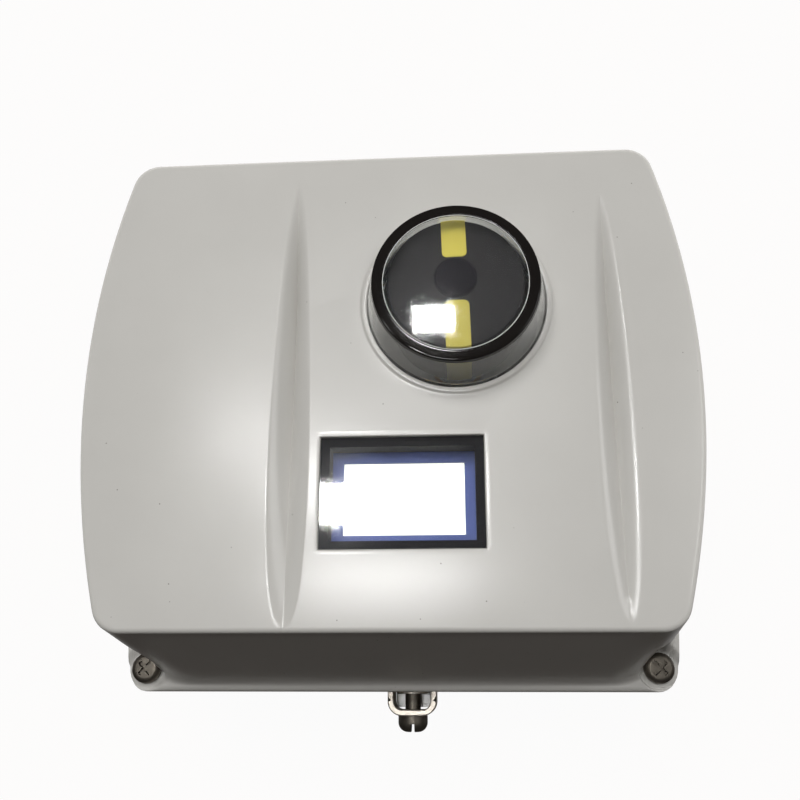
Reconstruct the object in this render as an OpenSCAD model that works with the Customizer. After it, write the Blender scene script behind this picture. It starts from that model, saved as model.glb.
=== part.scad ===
// Quarter-turn valve positioner: a cast housing with a lift-off window cover, a turning
// pointer, a display with four keys, a spool valve and a geared position sensor.
// Millimetres. The origin lies on the feedback shaft's axis in the mounting face, and +Z
// points from the mounting face to the cover's front.

/* [Case outline] */
// Width of the rim flange at half its height
flange_w = 177.6; // [170:0.2:200]
// Narrowing of each side of the flange towards its top and bottom edges
flange_bow = 3.8; // [1:0.1:6]
// Height of the rim flange
flange_h = 172; // [160:1:190]
// Corner radius of the rim flange
flange_corner = 7; // [5:0.5:10]
// Inset of the cover's front behind the flange's sides at half its height
front_in = 0.8; // [0.2:0.1:4]
// Narrowing of each side of the front towards its top and bottom edges
front_bow = 10.5; // [6:0.5:14]
// Height of the cover's front
cover_h = 141; // [125:1:155]
// Corner radius of the cover's front
cover_corner = 8; // [6:0.5:14]
// Step from the flange's edge in to the foot of the cover's wall
foot_step = 3.3; // [1:0.1:5]
// Step from the flange's edge in to the foot at the cover's sides
foot_side_step = 0.4; // [0.2:0.1:2]
// Corner radius of the foot of the cover's wall
foot_corner = 24; // [14:0.5:26]
// Corner radius of the cover's hollow at its foot
inner_foot_corner = 32; // [26:0.5:36]
// Corner radius of the cover's hollow at its front
inner_front_corner = 14; // [10:0.5:20]
// Sideways distance from the case's centre to the shaft's axis
dial_x = 20.1; // [15:0.1:24]
// Upward distance from the case's centre to the shaft's axis
dial_y = 23.4; // [18:0.1:26]

/* [Heights] */
// Mounting face to the top of the housing's rim
base_h = 40; // [38:0.5:46]
// Thickness of the mounting pad under the housing's floor
pad_t = 4; // [3:0.5:6]
// Thickness of the housing's floor
floor_t = 5; // [4:0.5:7]
// Thickness of the housing's rim
rim_t = 5; // [4:0.5:6]
// Thickness of the flat gasket under the cover
gasket_t = 1.2; // [0.8:0.1:2]
// Inset of that gasket from the flange's edge
gasket_in = 0.7; // [0.3:0.1:1.5]
// Thickness of the cover's flange
flange_t = 5; // [4:0.5:6]
// Rounding of the flange's upper edge
flange_round = 1.6; // [0.8:0.1:2]
// Rise of the cover's wall from its flange to the front edge
wall_rise = 48; // [46:1:60]
// Rise of the front's crown above the middle of its top and bottom edges
crown = 2; // [1:0.25:3]
// Radius of the rounded front edge
edge_r = 2; // [1:0.5:5]
// Wall thickness at the cover's sides
side_t = 3.5; // [2.5:0.25:5]
// Thickness of the cover's front at its edge
front_t = 4; // [3.5:0.25:6]

/* [Grooves] */
// Sideways place of the middle between the grooves from the case's centre
flute_mid = 18.5; // [14:0.5:22]
// Distance of each groove's centre line from that middle
flute_x = 44.7; // [40:0.1:50]
// Height of the grooves' middle above the case's centre
flute_y = -8; // [-14:0.5:0]
// Widest part of each groove
flute_w = 10.6; // [8:0.2:13]
// Depth of each groove at its middle
flute_d = 2.8; // [1.5:0.1:3]
// Length over which a groove runs out on a flat front
flute_len = 152; // [120:1:170]

/* [Indicator window] */
// Distance of the window's axis below the shaft's axis
window_drop = 2.4; // [0:0.1:2.6]
// Diameter of the clear cap at the cover's surface
cap_d = 51.4; // [48:0.2:54]
// Diameter of the cap's flat top
cap_top_d = 46.2; // [44.5:0.2:48]
// Height of the cap above the cover's surface
cap_h = 15; // [14:0.5:18]
// Wall thickness of the cap
cap_t = 2; // [1.8:0.1:2.6]
// Width of the black ring around the cap's top
ring_w = 3; // [2:0.1:3.2]
// Depth of the black ring
ring_t = 1.4; // [1:0.1:1.6]
// Width of the cap's hidden flange
cap_flange_w = 3.5; // [3:0.25:4]
// Thickness of the cap's hidden flange
cap_flange_t = 2.2; // [1.5:0.1:2.5]
// Thickness of the cap's gasket
cap_gasket_t = 1; // [0.6:0.1:1.2]
// Thickness of the retaining ring's sheet
retainer_t = 1.2; // [1:0.1:1.4]
// Width of the retaining ring's screw rim
retainer_rim = 4.4; // [4:0.2:5]
// Height of the raised collar around the cap
collar_rise = 0.8; // [0.4:0.1:1.2]
// Width of the raised collar
collar_w = 1.8; // [1.2:0.2:4]
// Rounding of the raised collar
collar_round = 0.4; // [0.2:0.1:0.6]

/* [Pointer] */
// Diameter of the pointer drum
drum_d = 38.6; // [36:0.2:39.4]
// Height of the drum's side
drum_h = 24; // [8:0.5:30]
// Rise of the drum's face from its rim to its hub
drum_rise = 2.75; // [1:0.25:3]
// Chamfer around the drum's face
drum_chamfer = 0.8; // [0.4:0.1:1.2]
// Thickness of the drum's hub over the shaft's end
drum_roof = 1; // [0.6:0.1:1.5]
// Wall thickness of the drum
drum_t = 2.4; // [1.8:0.1:3]
// Gap between the pointer's hub cap and the window
pointer_gap = 1.2; // [0.8:0.1:2]
// Width of the two yellow bars
stripe_w = 6.9; // [5:0.1:8]
// Corner radius of the bars
stripe_corner = 1.5; // [0.5:0.1:2.4]
// Distance of a bar's inner end from the axis
stripe_start = 6.6; // [6.2:0.1:9]
// Turn of the bars at rest, anticlockwise from the upright
bar_turn = 1.6; // [-10:0.1:10]
// Depth to which the bars are let into the drum
stripe_in = 0.6; // [0.4:0.1:1]
// Height by which the bars stand proud of the drum
stripe_out = 0.2; // [0.1:0.05:0.4]
// Diameter of the hub cap
hub_d = 12; // [9.5:0.1:12.2]
// Height of the hub cap
hub_h = 1.1; // [0.8:0.1:1.6]
// Chamfer of the hub cap
hub_round = 0.6; // [0.2:0.1:0.7]

/* [Display] */
// Width of the clear pane over the display
pane_w = 44.8; // [40:0.2:48]
// Height of the clear pane
pane_h = 30.7; // [28:0.1:33]
// Thickness of the clear pane
pane_t = 2.5; // [2:0.1:3]
// Sideways place of the pane's centre from the case's centre
pane_x = 4.4; // [0:0.2:8]
// Distance of the pane's centre above the front's lower edge
pane_rise = 36.5; // [34:0.5:40]
// Depth of the pane's face below the crowned front
pane_sink = 0.2; // [0.1:0.05:0.4]
// Width of the black frame seen through the pane
mask_w = 2.3; // [1.5:0.1:3]
// Width of the frame's flange behind the cover's front
mask_flange = 4; // [3:0.25:5]
// Thickness of the frame's flange
mask_flange_t = 2; // [1.5:0.1:2.5]
// Gap between the black frame and the keypad panel
mask_gap = 1.5; // [1:0.1:2.5]
// Width of the display's viewing area
view_w = 34.4; // [30:0.2:38]
// Height of the display's viewing area
view_h = 20.7; // [18:0.1:23]
// Border of the display module around its viewing area
lcd_border = 5; // [3:0.25:6]
// Thickness of the keypad panel
panel_t = 3; // [2.5:0.1:3.5]
// Gap from the keypad panel up to the inside of the cover's front
panel_gap = 5.2; // [5:0.1:7]
// Depth of the display's glass below the panel's face
view_sink = 0.8; // [0.4:0.1:1.2]
// Distance from the panel down to the keypad board
board_drop = 3; // [2.6:0.1:4]

/* [Keys] */
// Diameter of each key
key_d = 8; // [6:0.5:9]
// Spacing of the keys
key_pitch = 18; // [14:0.5:20]
// Distance of the key row above the keypad panel's lower edge
key_in = 8; // [7.5:0.25:10]
// Height of a key above the panel
key_rise = 2.4; // [1.5:0.1:3]
// Step around a key's top
key_round = 0.6; // [0.3:0.1:1]
// Width of the collar that keeps a key under the panel
key_collar = 1; // [0.8:0.1:1.5]
// Thickness of that collar
key_collar_t = 1; // [0.8:0.1:1.2]
// Key travel
key_travel = 0.8; // [0.5:0.1:0.9]
// Diameter of the switch under each key
switch_d = 5; // [4:0.25:7]

/* [Electronics] */
// Width of the electronics case
elec_w = 88; // [84:1:90]
// Height of the electronics case along the cover's height
elec_h = 57.6; // [54:0.2:60]
// Gap between the electronics case and the port block
elec_gap = 4; // [2:0.5:8]
// Gap between its lower edge and the inside of the cover's front edge
elec_low_gap = 1.4; // [1:0.1:4]
// Wall thickness of the electronics case
elec_t = 2.5; // [2:0.1:3]
// Corner radius of the electronics case
elec_corner = 5; // [4:0.5:8]
// Thickness of the circuit boards
board_t = 1.6; // [1:0.1:2]
// Height of the controller board above the housing's floor
controller_z = 46; // [30:1:52]
// Radius of the posts under the controller board
post_r = 4; // [3:0.25:5]
// Diameter of the holes in the posts and spacers
post_hole_d = 2.4; // [2:0.1:3]
// Depth of the holes in the posts
post_hole_l = 8; // [5:0.5:12]
// Diameter of the spacers between the boards
spacer_d = 6; // [5:0.25:7]
// Gap between the boards' edges and the case's walls
board_gap = 0.5; // [0.3:0.1:1]
// Width of the processor
chip_w = 22; // [14:1:26]
// Height of the processor
chip_h = 3; // [1.5:0.25:4]
// Width of the converter
converter_w = 12; // [8:0.5:14]
// Length of the converter
converter_l = 18; // [12:0.5:22]
// Height of the converter
converter_h = 9; // [6:0.5:12]
// Diameter of the storage capacitor
capacitor_d = 12; // [8:0.5:14]
// Height of the storage capacitor
capacitor_h = 12; // [8:0.5:14]
// Distance of the converter and the capacitor from the board's sides
parts_in = 9; // [7:0.5:10]

/* [Feedback shaft] */
// Diameter of the shaft in its bushes
shaft_d = 10; // [9:0.1:12]
// Diameter of the shaft's pointer end
stem_d = 7; // [6:0.1:7.6]
// Diameter of the spigot that leaves the mounting face
spigot_d = 8; // [6:0.1:8.5]
// Length of the spigot's round part
spigot_l = 13; // [10:0.5:20]
// Distance of the spigot's shoulder below the mounting face
shoulder = 1; // [0.5:0.1:2]
// Length of the drive tongue
tongue_l = 8; // [6:0.5:12]
// Thickness of the drive tongue
tongue_t = 4; // [3:0.1:4.4]
// Width of the drive tongue
tongue_w = 6.6; // [5:0.1:6.6]
// Wall thickness of the bushes
bush_t = 2; // [1.5:0.1:3]
// Width of the bushes' collars
bush_collar = 2; // [1.5:0.1:2.5]
// Thickness of the bushes' collars
bush_collar_t = 1.5; // [1:0.1:2]
// Radius of the shaft's boss in the housing
boss_r = 12; // [11:0.5:14]
// Height of the shaft's boss above the mounting face
boss_h = 15; // [13:0.5:16]
// Height of the shaft seal
seal_h = 3; // [2:0.1:4]
// Wall thickness of the shaft seal
seal_t = 3; // [2.4:0.1:4]
// Height of the seal's lower face above the mounting face
seal_z = 0.6; // [0.3:0.1:1]
// Thickness of the shaft's retaining clip
clip_t = 1; // [0.8:0.1:1.2]
// Depth of the clip's groove
clip_in = 0.4; // [0.3:0.05:0.6]
// Width of the clip's ring
clip_w = 3; // [2:0.1:4]
// Width of the clip's mouth
clip_mouth = 6; // [4:0.25:7]
// Length of the shaft beyond the clip
clip_land = 2; // [1:0.25:3]

/* [Gears] */
// Tooth module
tooth_module = 0.8; // [0.7:0.05:0.9]
// Teeth on the shaft's gear
gear_teeth = 48; // [44:4:48]
// Teeth on the sensor's pinion
pinion_teeth = 16; // [16:4:20]
// Pressure angle
pressure_angle = 20; // [20:0.5:25]
// Tooth thinning that leaves play in the mesh
backlash = 0.12; // [0.08:0.01:0.2]
// Height of the gear's underside above the mounting face
gear_z = 18; // [17.5:0.25:20]
// Width of the teeth
gear_t = 5; // [4:0.25:6]
// Height of the gear's hub above its face
gear_hub_h = 5; // [3:0.25:6]
// Wall thickness of the gear's hub
gear_hub_t = 3.5; // [3:0.1:4]
// Diameter of the sensor's spindle
spindle_d = 4; // [3:0.1:5]
// Radius of the sensor's can
sensor_r = 11; // [9:0.25:12]
// Height of the sensor's can
sensor_h = 7; // [6:0.25:8]
// Step around the sensor can's top
sensor_step = 1; // [0.5:0.1:1.5]
// Thickness of the sensor can's floor
sensor_floor = 1; // [0.8:0.1:1.5]
// Width of the sensor's fixing ears
ear_w = 8; // [6:0.5:10]
// Reach of the sensor's fixing ears beyond its can
ear_reach = 3; // [2:0.25:4]
// Thickness of the sensor's fixing ears
ear_t = 2; // [1.5:0.1:3]
// Width of the collar under the pinion
pinion_collar = 1.2; // [0.8:0.1:1.6]
// Length of the spindle beyond the pinion
spindle_end = 2; // [1:0.25:4]

/* [Bearing bridge] */
// Distance of the bridge's pillars from the shaft's axis
bridge_reach = 28; // [27:0.25:30]
// Radius of the pillars
pillar_r = 5; // [4.5:0.1:5.5]
// Height of the bridge's underside above the mounting face
bridge_z = 31; // [30:0.5:34]
// Thickness of the bridge
bridge_t = 5; // [4:0.25:6]
// Width of the bridge around the upper bush
bridge_eye = 24; // [22:0.5:28]
// Width by which the bridge stands out around its pillars
bridge_lip = 1; // [0:0.25:2]
// Grip of the bridge's screws in the housing's floor
bridge_grip = 3; // [2:0.25:3.5]

/* [Mounting] */
// Spacing of the mounting holes along X
mount_x = 50; // [44:1:60]
// Spacing of the mounting holes along Y
mount_y = 25; // [24:1:40]
// Diameter of the tapped mounting holes
mount_hole_d = 5; // [4:0.1:6.8]
// Depth of the tapped mounting holes
mount_depth = 12; // [10:0.5:13]
// Radius of the mounting holes' bosses
mount_boss_r = 6; // [5.5:0.25:7]
// Thickness left above the mounting holes
mount_roof = 3; // [2:0.25:4]
// Width of the mounting pad
pad_w = 78; // [70:1:90]
// Height of the mounting pad
pad_h = 52; // [48:1:60]
// Corner radius of the mounting pad
pad_corner = 8; // [5:0.5:12]
// Width of the ribs on the housing's back
rib_w = 4; // [3:0.5:6]
// Height of the ribs on the housing's back
rib_h = 2.5; // [1.5:0.25:3]
// Spacing of the ribs on the housing's back
rib_pitch = 40; // [30:1:48]
// Inset of the ribs' ends from the housing's wall
rib_in = 2; // [1:0.25:4]
// Wall draft of the housing, as the inset at its floor
housing_draft = 6; // [5:0.25:7]
// Inset of the housing's wall under its rim
rim_step = 3; // [2:0.25:4]
// Corner radius of the housing's wall
housing_corner = 10; // [8:0.5:14]
// Inset of the housing's hollow from the flange's edge
hollow_inset = 9; // [8.5:0.25:11]
// Corner radius of the housing's hollow
hollow_corner = 24; // [22:0.5:30]

/* [Ports] */
// Depth of the port block, from its face inwards
port_block_w = 36; // [32:0.5:38]
// Length of the port block
port_block_l = 80; // [76:1:84]
// Upward place of the port block's middle from the case's centre
port_y = -28; // [-32:0.5:-27]
// Distance of the port and entry faces behind the flange's side edges
port_sink = 2.8; // [1.5:0.1:3.5]
// Diameter of the tapped ports
port_d = 11.8; // [11:0.1:12.5]
// Depth of the tapped ports
port_depth = 13; // [10:0.5:15]
// Spacing of the ports
port_pitch = 26; // [24:0.5:28]
// Diameter of the air galleries
gallery_d = 5; // [3:0.25:6]
// Diameter of the exhaust filter disc
filter_d = 12; // [10:0.5:16]
// Depth of the filter's face in its hole
filter_in = 0.5; // [0.3:0.1:1.5]
// Depth of the electrical entry block
entry_w = 16; // [14:0.5:18]
// Length of the electrical entry block
entry_l = 68; // [64:0.5:70]
// Upward place of the entry block's middle from the case's centre
entry_y = 37; // [35:0.5:38]
// Diameter of the tapped conduit entries
entry_d = 18.5; // [16:0.1:20]
// Spacing of the conduit entries
entry_pitch = 34; // [28:0.5:36]

/* [Spool valve] */
// Width and height of the valve body
valve_w = 22; // [20:0.25:24]
// Length of the valve body
valve_l = 68; // [64:1:70]
// Distance of the valve's axis behind the port face
valve_in = 24; // [23.5:0.25:25]
// Diameter of the spool
spool_d = 8; // [6:0.1:9]
// Free travel of the spool each way
spool_travel = 1.5; // [0.5:0.1:2]
// Free space beyond that travel
spool_spare = 1.5; // [0.5:0.1:2]
// Width of the grooves between the spool's lands
land_gap = 8; // [5:0.25:10]
// Depth of the grooves between the lands
land_depth = 1.2; // [0.8:0.1:2]
// Spacing of the grooves between the lands
land_pitch = 15; // [12:0.5:17]
// Width across flats of the end plugs
plug_af = 15; // [13:0.5:19]
// Thickness of the end plugs' hexagons
plug_t = 5; // [3:0.25:6]
// Diameter of the end plugs' collars
plug_collar_d = 18.6; // [18:0.2:21]
// Thickness of the end plugs' collars
plug_collar_t = 1.5; // [1:0.1:2]
// Distance from the valve's ends to its screw heads
valve_screw_in = 1; // [0.5:0.1:2]
// Length of the prestage unit's base
prestage_l = 32; // [28:0.5:40]
// Thickness of the prestage unit's base
prestage_t = 5; // [4:0.25:6]
// Corner radius of the prestage unit's base
prestage_corner = 3; // [2:0.25:4]
// Radius of the prestage unit's coil can
coil_r = 9.5; // [8:0.25:10]
// Height of the prestage unit's coil can
coil_h = 15; // [10:0.5:18]
// Step up to the lid of the coil can
coil_step = 2; // [1:0.25:3]

/* [Terminals] */
// Width of the terminal block
term_w = 18; // [16:0.5:20]
// Length of the terminal block
term_l = 56; // [50:1:58]
// Height of the terminal block
term_h = 23; // [18:0.5:25]
// Sideways place of its middle from the case's centre
term_x = -29; // [-31:0.5:-27]
// Upward place of its middle from the case's centre
term_y = 36; // [34:0.5:37]
// Number of terminals
term_count = 6; // [4:1:6]
// Diameter of the terminal screws
term_screw_d = 5; // [4:0.1:5.6]
// Length of the terminal screws
term_screw_l = 6; // [4:0.25:8]
// Depth of the terminal screws' heads below the block's top
term_screw_sink = 2; // [1:0.25:3]
// Width of the step along the terminal block
term_step_w = 5.4; // [4:0.2:6]
// Height of that step from the block's top
term_step_h = 8; // [5:0.5:10]
// Height of the wire entries above the housing's floor
wire_z = 8; // [6:0.5:10]
// Diameter of the wire entries
wire_d = 4; // [3:0.1:5]

/* [Earth terminal] */
// Sideways place of the earth terminal from the case's centre
earth_x = 3.5; // [0:0.5:10]
// Height of the earth screw above the mounting face
earth_z = 26; // [20:0.5:27]
// Width of the clamp
clamp_w = 15.6; // [13:0.2:18]
// Height of the clamp
clamp_h = 13; // [11:0.5:15]
// Depth of the clamp
clamp_d = 8; // [5:0.25:9]
// Outer radius of the clamp's bends
clamp_round = 4.5; // [3:0.1:5]
// Sheet thickness of the clamp
clamp_t = 1.9; // [1.5:0.1:2.5]
// Diameter of the earth screw's head
earth_head_d = 9.5; // [8:0.25:11]
// Height of the earth screw's head
earth_head_h = 5; // [2.5:0.1:6]
// Diameter of the earth screw
earth_screw_d = 5; // [4:0.1:6]
// Length of the earth screw in the housing
earth_screw_in = 7; // [5:0.25:7]
// Thickness of the earth washer
washer_t = 1.2; // [0.8:0.1:1.6]
// Diameter of the earth washer
washer_d = 10; // [9:0.25:11]
// Reach of the earth boss beyond the flange's lower edge
earth_boss = -0.6; // [-2:0.1:1]
// Height of the earth boss's underside above the mounting face
earth_boss_z = 10; // [8:0.5:14]
// Width by which the earth boss stands out beside the clamp
earth_boss_side = 1; // [0.5:0.25:3]
// Reach of the shelf that keeps the clamp from turning
shelf_reach = 5.5; // [3:0.25:6]
// Gap between that shelf and the clamp
shelf_gap = 0.5; // [0.3:0.1:1]

/* [Screws] */
// Inset of the cover screws from the flange's sides at its ends
screw_side_in = 5.6; // [5.4:0.1:7]
// Inset of the cover screws from the flange's top and bottom edges
screw_end_in = 7; // [6:0.1:8]
// Diameter of the cover screws
cover_screw_d = 5; // [4:0.1:5.2]
// Length of the cover screws under the head
cover_screw_l = 22; // [16:0.5:24]
// Diameter of the cover screws' heads
cover_head_d = 9.2; // [8:0.1:9.6]
// Height of the cover screws' heads
cover_head_h = 3; // [2.4:0.1:3.6]
// Diameter of the pockets around the screw heads
pocket_d = 13; // [11.5:0.25:13.5]
// Depth of the pockets in the flange
pocket_in = 2; // [0.5:0.1:2.5]
// Radius of the housing's lugs around the cover screws
lug_r = 5.5; // [5:0.1:6]
// Thickness of the lugs under the screw holes
lug_floor = 3; // [2:0.25:4]
// Diameter of the inner fixing screws
fix_d = 4; // [3:0.1:4.2]
// Diameter of the inner fixing screws' heads
fix_head_d = 7; // [5.5:0.1:7.4]
// Height of the inner fixing screws' heads
fix_head_h = 3; // [2.4:0.1:4]
// Grip of the inner fixing screws in the piece below
fix_grip = 8; // [6:0.5:8.5]
// Diameter of the window retainer's screws
small_d = 2.9; // [2.4:0.1:3]
// Diameter of those screws' heads
small_head_d = 4.8; // [4:0.1:5]
// Height of those screws' heads
small_head_h = 1.6; // [1.2:0.1:1.8]
// Grip of those screws in the cover's front
small_grip = 2.8; // [2:0.1:3]
// Spare depth of those screws' holes
small_spare = 0.3; // [0.2:0.05:0.4]
// Width of the screwdriver slots
slot_w = 1.2; // [0.8:0.1:1.6]
// Depth of the terminal screws' slots
slot_d = 1.2; // [0.8:0.1:1.6]
// Spare depth of screw holes beyond their screws
screw_spare = 1; // [0.5:0.1:2]

/* [Fits] */
// Radial running clearance of turning and sliding pieces
run_gap = 0.03; // [0.02:0.01:0.08]
// Radial clearance of fixed pieces in their holes
fit_gap = 0.1; // [0.05:0.01:0.2]
// Clearance around the windows and their openings
window_gap = 0.15; // [0.1:0.05:0.3]
// Clearance around a key in its hole
key_gap = 0.35; // [0.3:0.05:0.6]
// Radial clearance of the cover screws in the cover
screw_gap = 0.3; // [0.2:0.05:0.5]
// End clearance of the turning spindle
end_gap = 0.5; // [0.3:0.05:0.8]

/* [Hidden] */
case_x = -dial_x;
case_y = -dial_y;
window_y = dial_y - window_drop;
flange_end_w = flange_w - 2 * flange_bow;
cover_w = flange_w - 2 * front_in;
cover_end_w = cover_w - 2 * front_bow;
floor_z = pad_t + floor_t;
rim_z = base_h - rim_t;
seat_z = base_h + gasket_t;
ledge_z = seat_z + flange_t;
edge_z = ledge_z + wall_rise;
crown_z = edge_z + crown;
dome_r = (cover_h * cover_h / 4 + crown * crown) / (2 * crown);
ceiling_z = edge_z - front_t;
panel_z = ceiling_z - panel_gap;
ui_board_z = panel_z - panel_t - board_drop;
dial_z = dome_z(dial_x, window_y);
pane_y = pane_rise - cover_h / 2;
pane_z = dome_z(pane_x, pane_y) - pane_sink;
cap_z = dial_z + cap_h;
hub_z = cap_z - cap_t - pointer_gap;
drum_hub_z = hub_z - hub_h;
drum_rim_z = drum_hub_z - drum_rise;
clip_z = bridge_z + bridge_t + bush_collar_t;
bush_z = seal_z + seal_h + fit_gap;
flange_z = ceiling_z - cap_gasket_t - cap_flange_t;
cap_flange_r = cap_d / 2 + cap_flange_w;
cap_inner_r = cap_d / 2 - cap_t;
cap_slope = (cap_d - cap_top_d) / 2 / cap_h;
ring_seat_r = cap_top_d / 2 - ring_w;
retainer_r = cap_flange_r + fit_gap + retainer_rim;
retainer_screw_r = cap_flange_r + fit_gap + retainer_rim / 2;
gear_pitch_r = tooth_module * gear_teeth / 2;
pinion_pitch_r = tooth_module * pinion_teeth / 2;
mesh_distance = gear_pitch_r + pinion_pitch_r;
port_face = flange_w / 2 - port_sink;
port_inside = port_face - port_block_w;
elec_x = port_inside - elec_gap - elec_w / 2;
elec_low = side_t - cover_h / 2 + elec_low_gap;
elec_y = elec_low + elec_h / 2;
key_y = elec_low + key_in;
valve_x = port_face - valve_in;
valve_z = rim_z;
spool_z = valve_z + valve_w / 2;
spool_l = valve_l - 2 * (spool_travel + spool_spare);
port_z = (floor_z + rim_z) / 2;
clamp_face = flange_h / 2 + earth_boss;
head_z = ledge_z - pocket_in;
// Shares of a screw head's size taken by its rounding, its recess's depth and its reach
head_round = 0.6;
recess_depth = 0.5;
cross_reach = 0.28;
// Heights of a gear tooth above and below the pitch circle, in modules
addendum = 0.95;
dedendum = 1.25;
// Steps along curves that are drawn as points
side_steps = 6;
corner_steps = 5;
flank_steps = 3;
// Angles up the quarter rounds of the flange and of the front edge
flange_angles = [0, 30, 60, 90];
edge_angles = [0, 25, 50, 75];
// Inset of the ring that closes the cover's skin above its crown
close_in = 8;
// The keys' and the display's common centre line, counted in keys
mid_key = 2.5;
// Sinking of joined solids into each other, and reach of cuts beyond a face
overlap = 0.5;
cut = 1;
$fn = 64;

// One quarter of a barrel outline: a long arc at the side, then a round corner.
function quarter(mid, end, half_h, r) =
    let (bow = max(mid - end, 0.01),
         arc_r = (half_h * half_h + bow * bow) / (2 * bow),
         arc_x = mid - arc_r,
         corner_y = half_h - r,
         corner_x = arc_x + sqrt((arc_r - r) * (arc_r - r) - corner_y * corner_y),
         turn = atan2(corner_y, corner_x - arc_x))
    concat(
        [for (i = [0 : side_steps - 1])
            let (a = turn * i / side_steps) [arc_x + arc_r * cos(a), arc_r * sin(a)]],
        [for (i = [0 : corner_steps])
            let (a = turn + (90 - turn) * i / corner_steps)
            [corner_x + r * cos(a), corner_y + r * sin(a)]]);

// The whole barrel outline, anticlockwise, with all sizes reduced by an inset.
function barrel(w, end_w, h, r, inset = 0) =
    let (q = quarter(w / 2 - inset, end_w / 2 - inset, h / 2 - inset, r), n = len(q))
    concat(q,
           [for (i = [n - 1 : -1 : 0]) [-q[i].x, q[i].y]],
           [for (i = [1 : n - 1]) [-q[i].x, -q[i].y]],
           [for (i = [n - 1 : -1 : 1]) [q[i].x, -q[i].y]]);

function flange_outline(inset = 0) =
    barrel(flange_w, flange_end_w, flange_h, flange_corner - inset, inset);
function wall_outline(inset) =
    barrel(flange_w, flange_end_w, flange_h, housing_corner, inset);
function hollow_outline() =
    barrel(flange_w, flange_end_w, flange_h, hollow_corner, hollow_inset);
function foot_outline(inset = 0, r = foot_corner) =
    barrel(flange_w - 2 * foot_side_step, flange_end_w - 2 * foot_side_step,
           flange_h - 2 * foot_step, r, inset);
function front_outline(inset = 0, r = cover_corner) =
    barrel(cover_w, cover_end_w, cover_h, r, inset);

// Height of the crowned front over a point given from the case's centre.
function dome_z(x, y) = crown_z - dome_r + sqrt(dome_r * dome_r - x * x - y * y);

// Angle that an involute flank has left the base circle by, in degrees.
function involute(a) = tan(a) * 180 / PI - a;
function half_tooth(r, teeth) =
    let (pitch_r = tooth_module * teeth / 2,
         base_r = pitch_r * cos(pressure_angle))
    90 / teeth - backlash / 2 / pitch_r * 180 / PI
        + involute(pressure_angle) - involute(acos(min(1, base_r / max(r, base_r))));
function gear_outline(teeth) =
    let (pitch_r = tooth_module * teeth / 2,
         root_r = pitch_r - dedendum * tooth_module,
         tip_r = pitch_r + addendum * tooth_module,
         low_r = max(root_r + backlash / 10, pitch_r * cos(pressure_angle)),
         flank = [for (i = [0 : flank_steps]) low_r + (tip_r - low_r) * i / flank_steps],
         radii = concat([root_r], flank),
         last = flank_steps + 1)
    [for (t = [0 : teeth - 1]) for (side = [-1, 1]) for (i = [0 : last])
        let (r = radii[side < 0 ? i : last - i],
             a = 360 * t / teeth + side * half_tooth(r, teeth))
        [r * cos(a), r * sin(a)]];

function at_height(z, outline) = [for (p = outline) [p.x, p.y, z]];

// A solid skin over rings of equal point count, from the lowest to the highest.
module loft(rings) {
    n = len(rings[0]);
    last = len(rings) - 1;
    points = [for (ring = rings) each ring];
    walls = [for (k = [0 : last - 1]) for (i = [0 : n - 1])
        let (j = (i + cut) % n, a = k * n, b = a + n)
        each [[a + i, b + i, b + j], [a + i, b + j, a + j]]];
    floor_face = [for (i = [0 : n - 1]) i];
    roof_face = [for (i = [n - 1 : -1 : 0]) last * n + i];
    polyhedron(points = points, faces = concat([floor_face], walls, [roof_face]));
}

module at_case(z = 0) {
    translate([case_x, case_y, z]) children();
}

module at_window() {
    translate([0, -window_drop]) children();
}

module round_rect(w, h, r) {
    square([w - 2 * r, h], center = true);
    square([w, h - 2 * r], center = true);
    for (x = [-1, 1], y = [-1, 1])
        translate([x * (w / 2 - r), y * (h / 2 - r)]) circle(r);
}

module slab(z0, z1) {
    translate([0, 0, z0]) linear_extrude(z1 - z0) children();
}

module rod(r, z0, z1) {
    translate([0, 0, z0]) cylinder(r = r, h = z1 - z0);
}

module cover_corners() {
    x = flange_end_w / 2 - screw_side_in;
    y = flange_h / 2 - screw_end_in;
    at_case()
        for (i = [-1, 1], j = [-1, 1])
            translate([i * x, j * y]) children();
}

module mount_places() {
    for (i = [-1, 1], j = [-1, 1])
        translate([i * mount_x / 2, j * mount_y / 2]) children();
}

module bridge_places() {
    for (i = [-1, 1]) translate([i * bridge_reach, 0]) children();
}

module port_places() {
    for (i = [-1, 0, 1]) at_case() translate([0, port_y + i * port_pitch]) children();
}

module entry_places() {
    for (i = [-1, 1]) at_case() translate([0, entry_y + i * entry_pitch / 2]) children();
}

module valve_screw_places() {
    for (i = [-1, 1], j = [-1, 1])
        at_case()
            translate([valve_x + i * (valve_w - fix_head_d) / 2,
                       port_y + j * ((valve_l - fix_head_d) / 2 - valve_screw_in)])
                children();
}

module retainer_places() {
    for (a = [90, 210, 330])
        at_window() rotate(a) translate([retainer_screw_r, 0]) children();
}

module post_places() {
    for (i = [-1, 1], j = [-1, 1])
        at_case()
            translate([elec_x + i * (elec_w / 2 - elec_t - post_r),
                       elec_y + j * (elec_h / 2 - elec_t - post_r)]) children();
}

module terminal_places() {
    for (i = [0 : term_count - 1])
        at_case()
            translate([term_x, term_y + (i - (term_count - 1) / 2) * term_l / term_count])
                children();
}

module port_block_space(gap) {
    at_case()
        translate([port_face - port_block_w - gap, port_y - port_block_l / 2 - gap, floor_z])
            cube([port_block_w + gap, port_block_l + 2 * gap, rim_z - floor_z]);
}

module entry_block_space(gap) {
    at_case()
        translate([-port_face, entry_y - entry_l / 2 - gap, floor_z])
            cube([entry_w + gap, entry_l + 2 * gap, rim_z - floor_z]);
}

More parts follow.
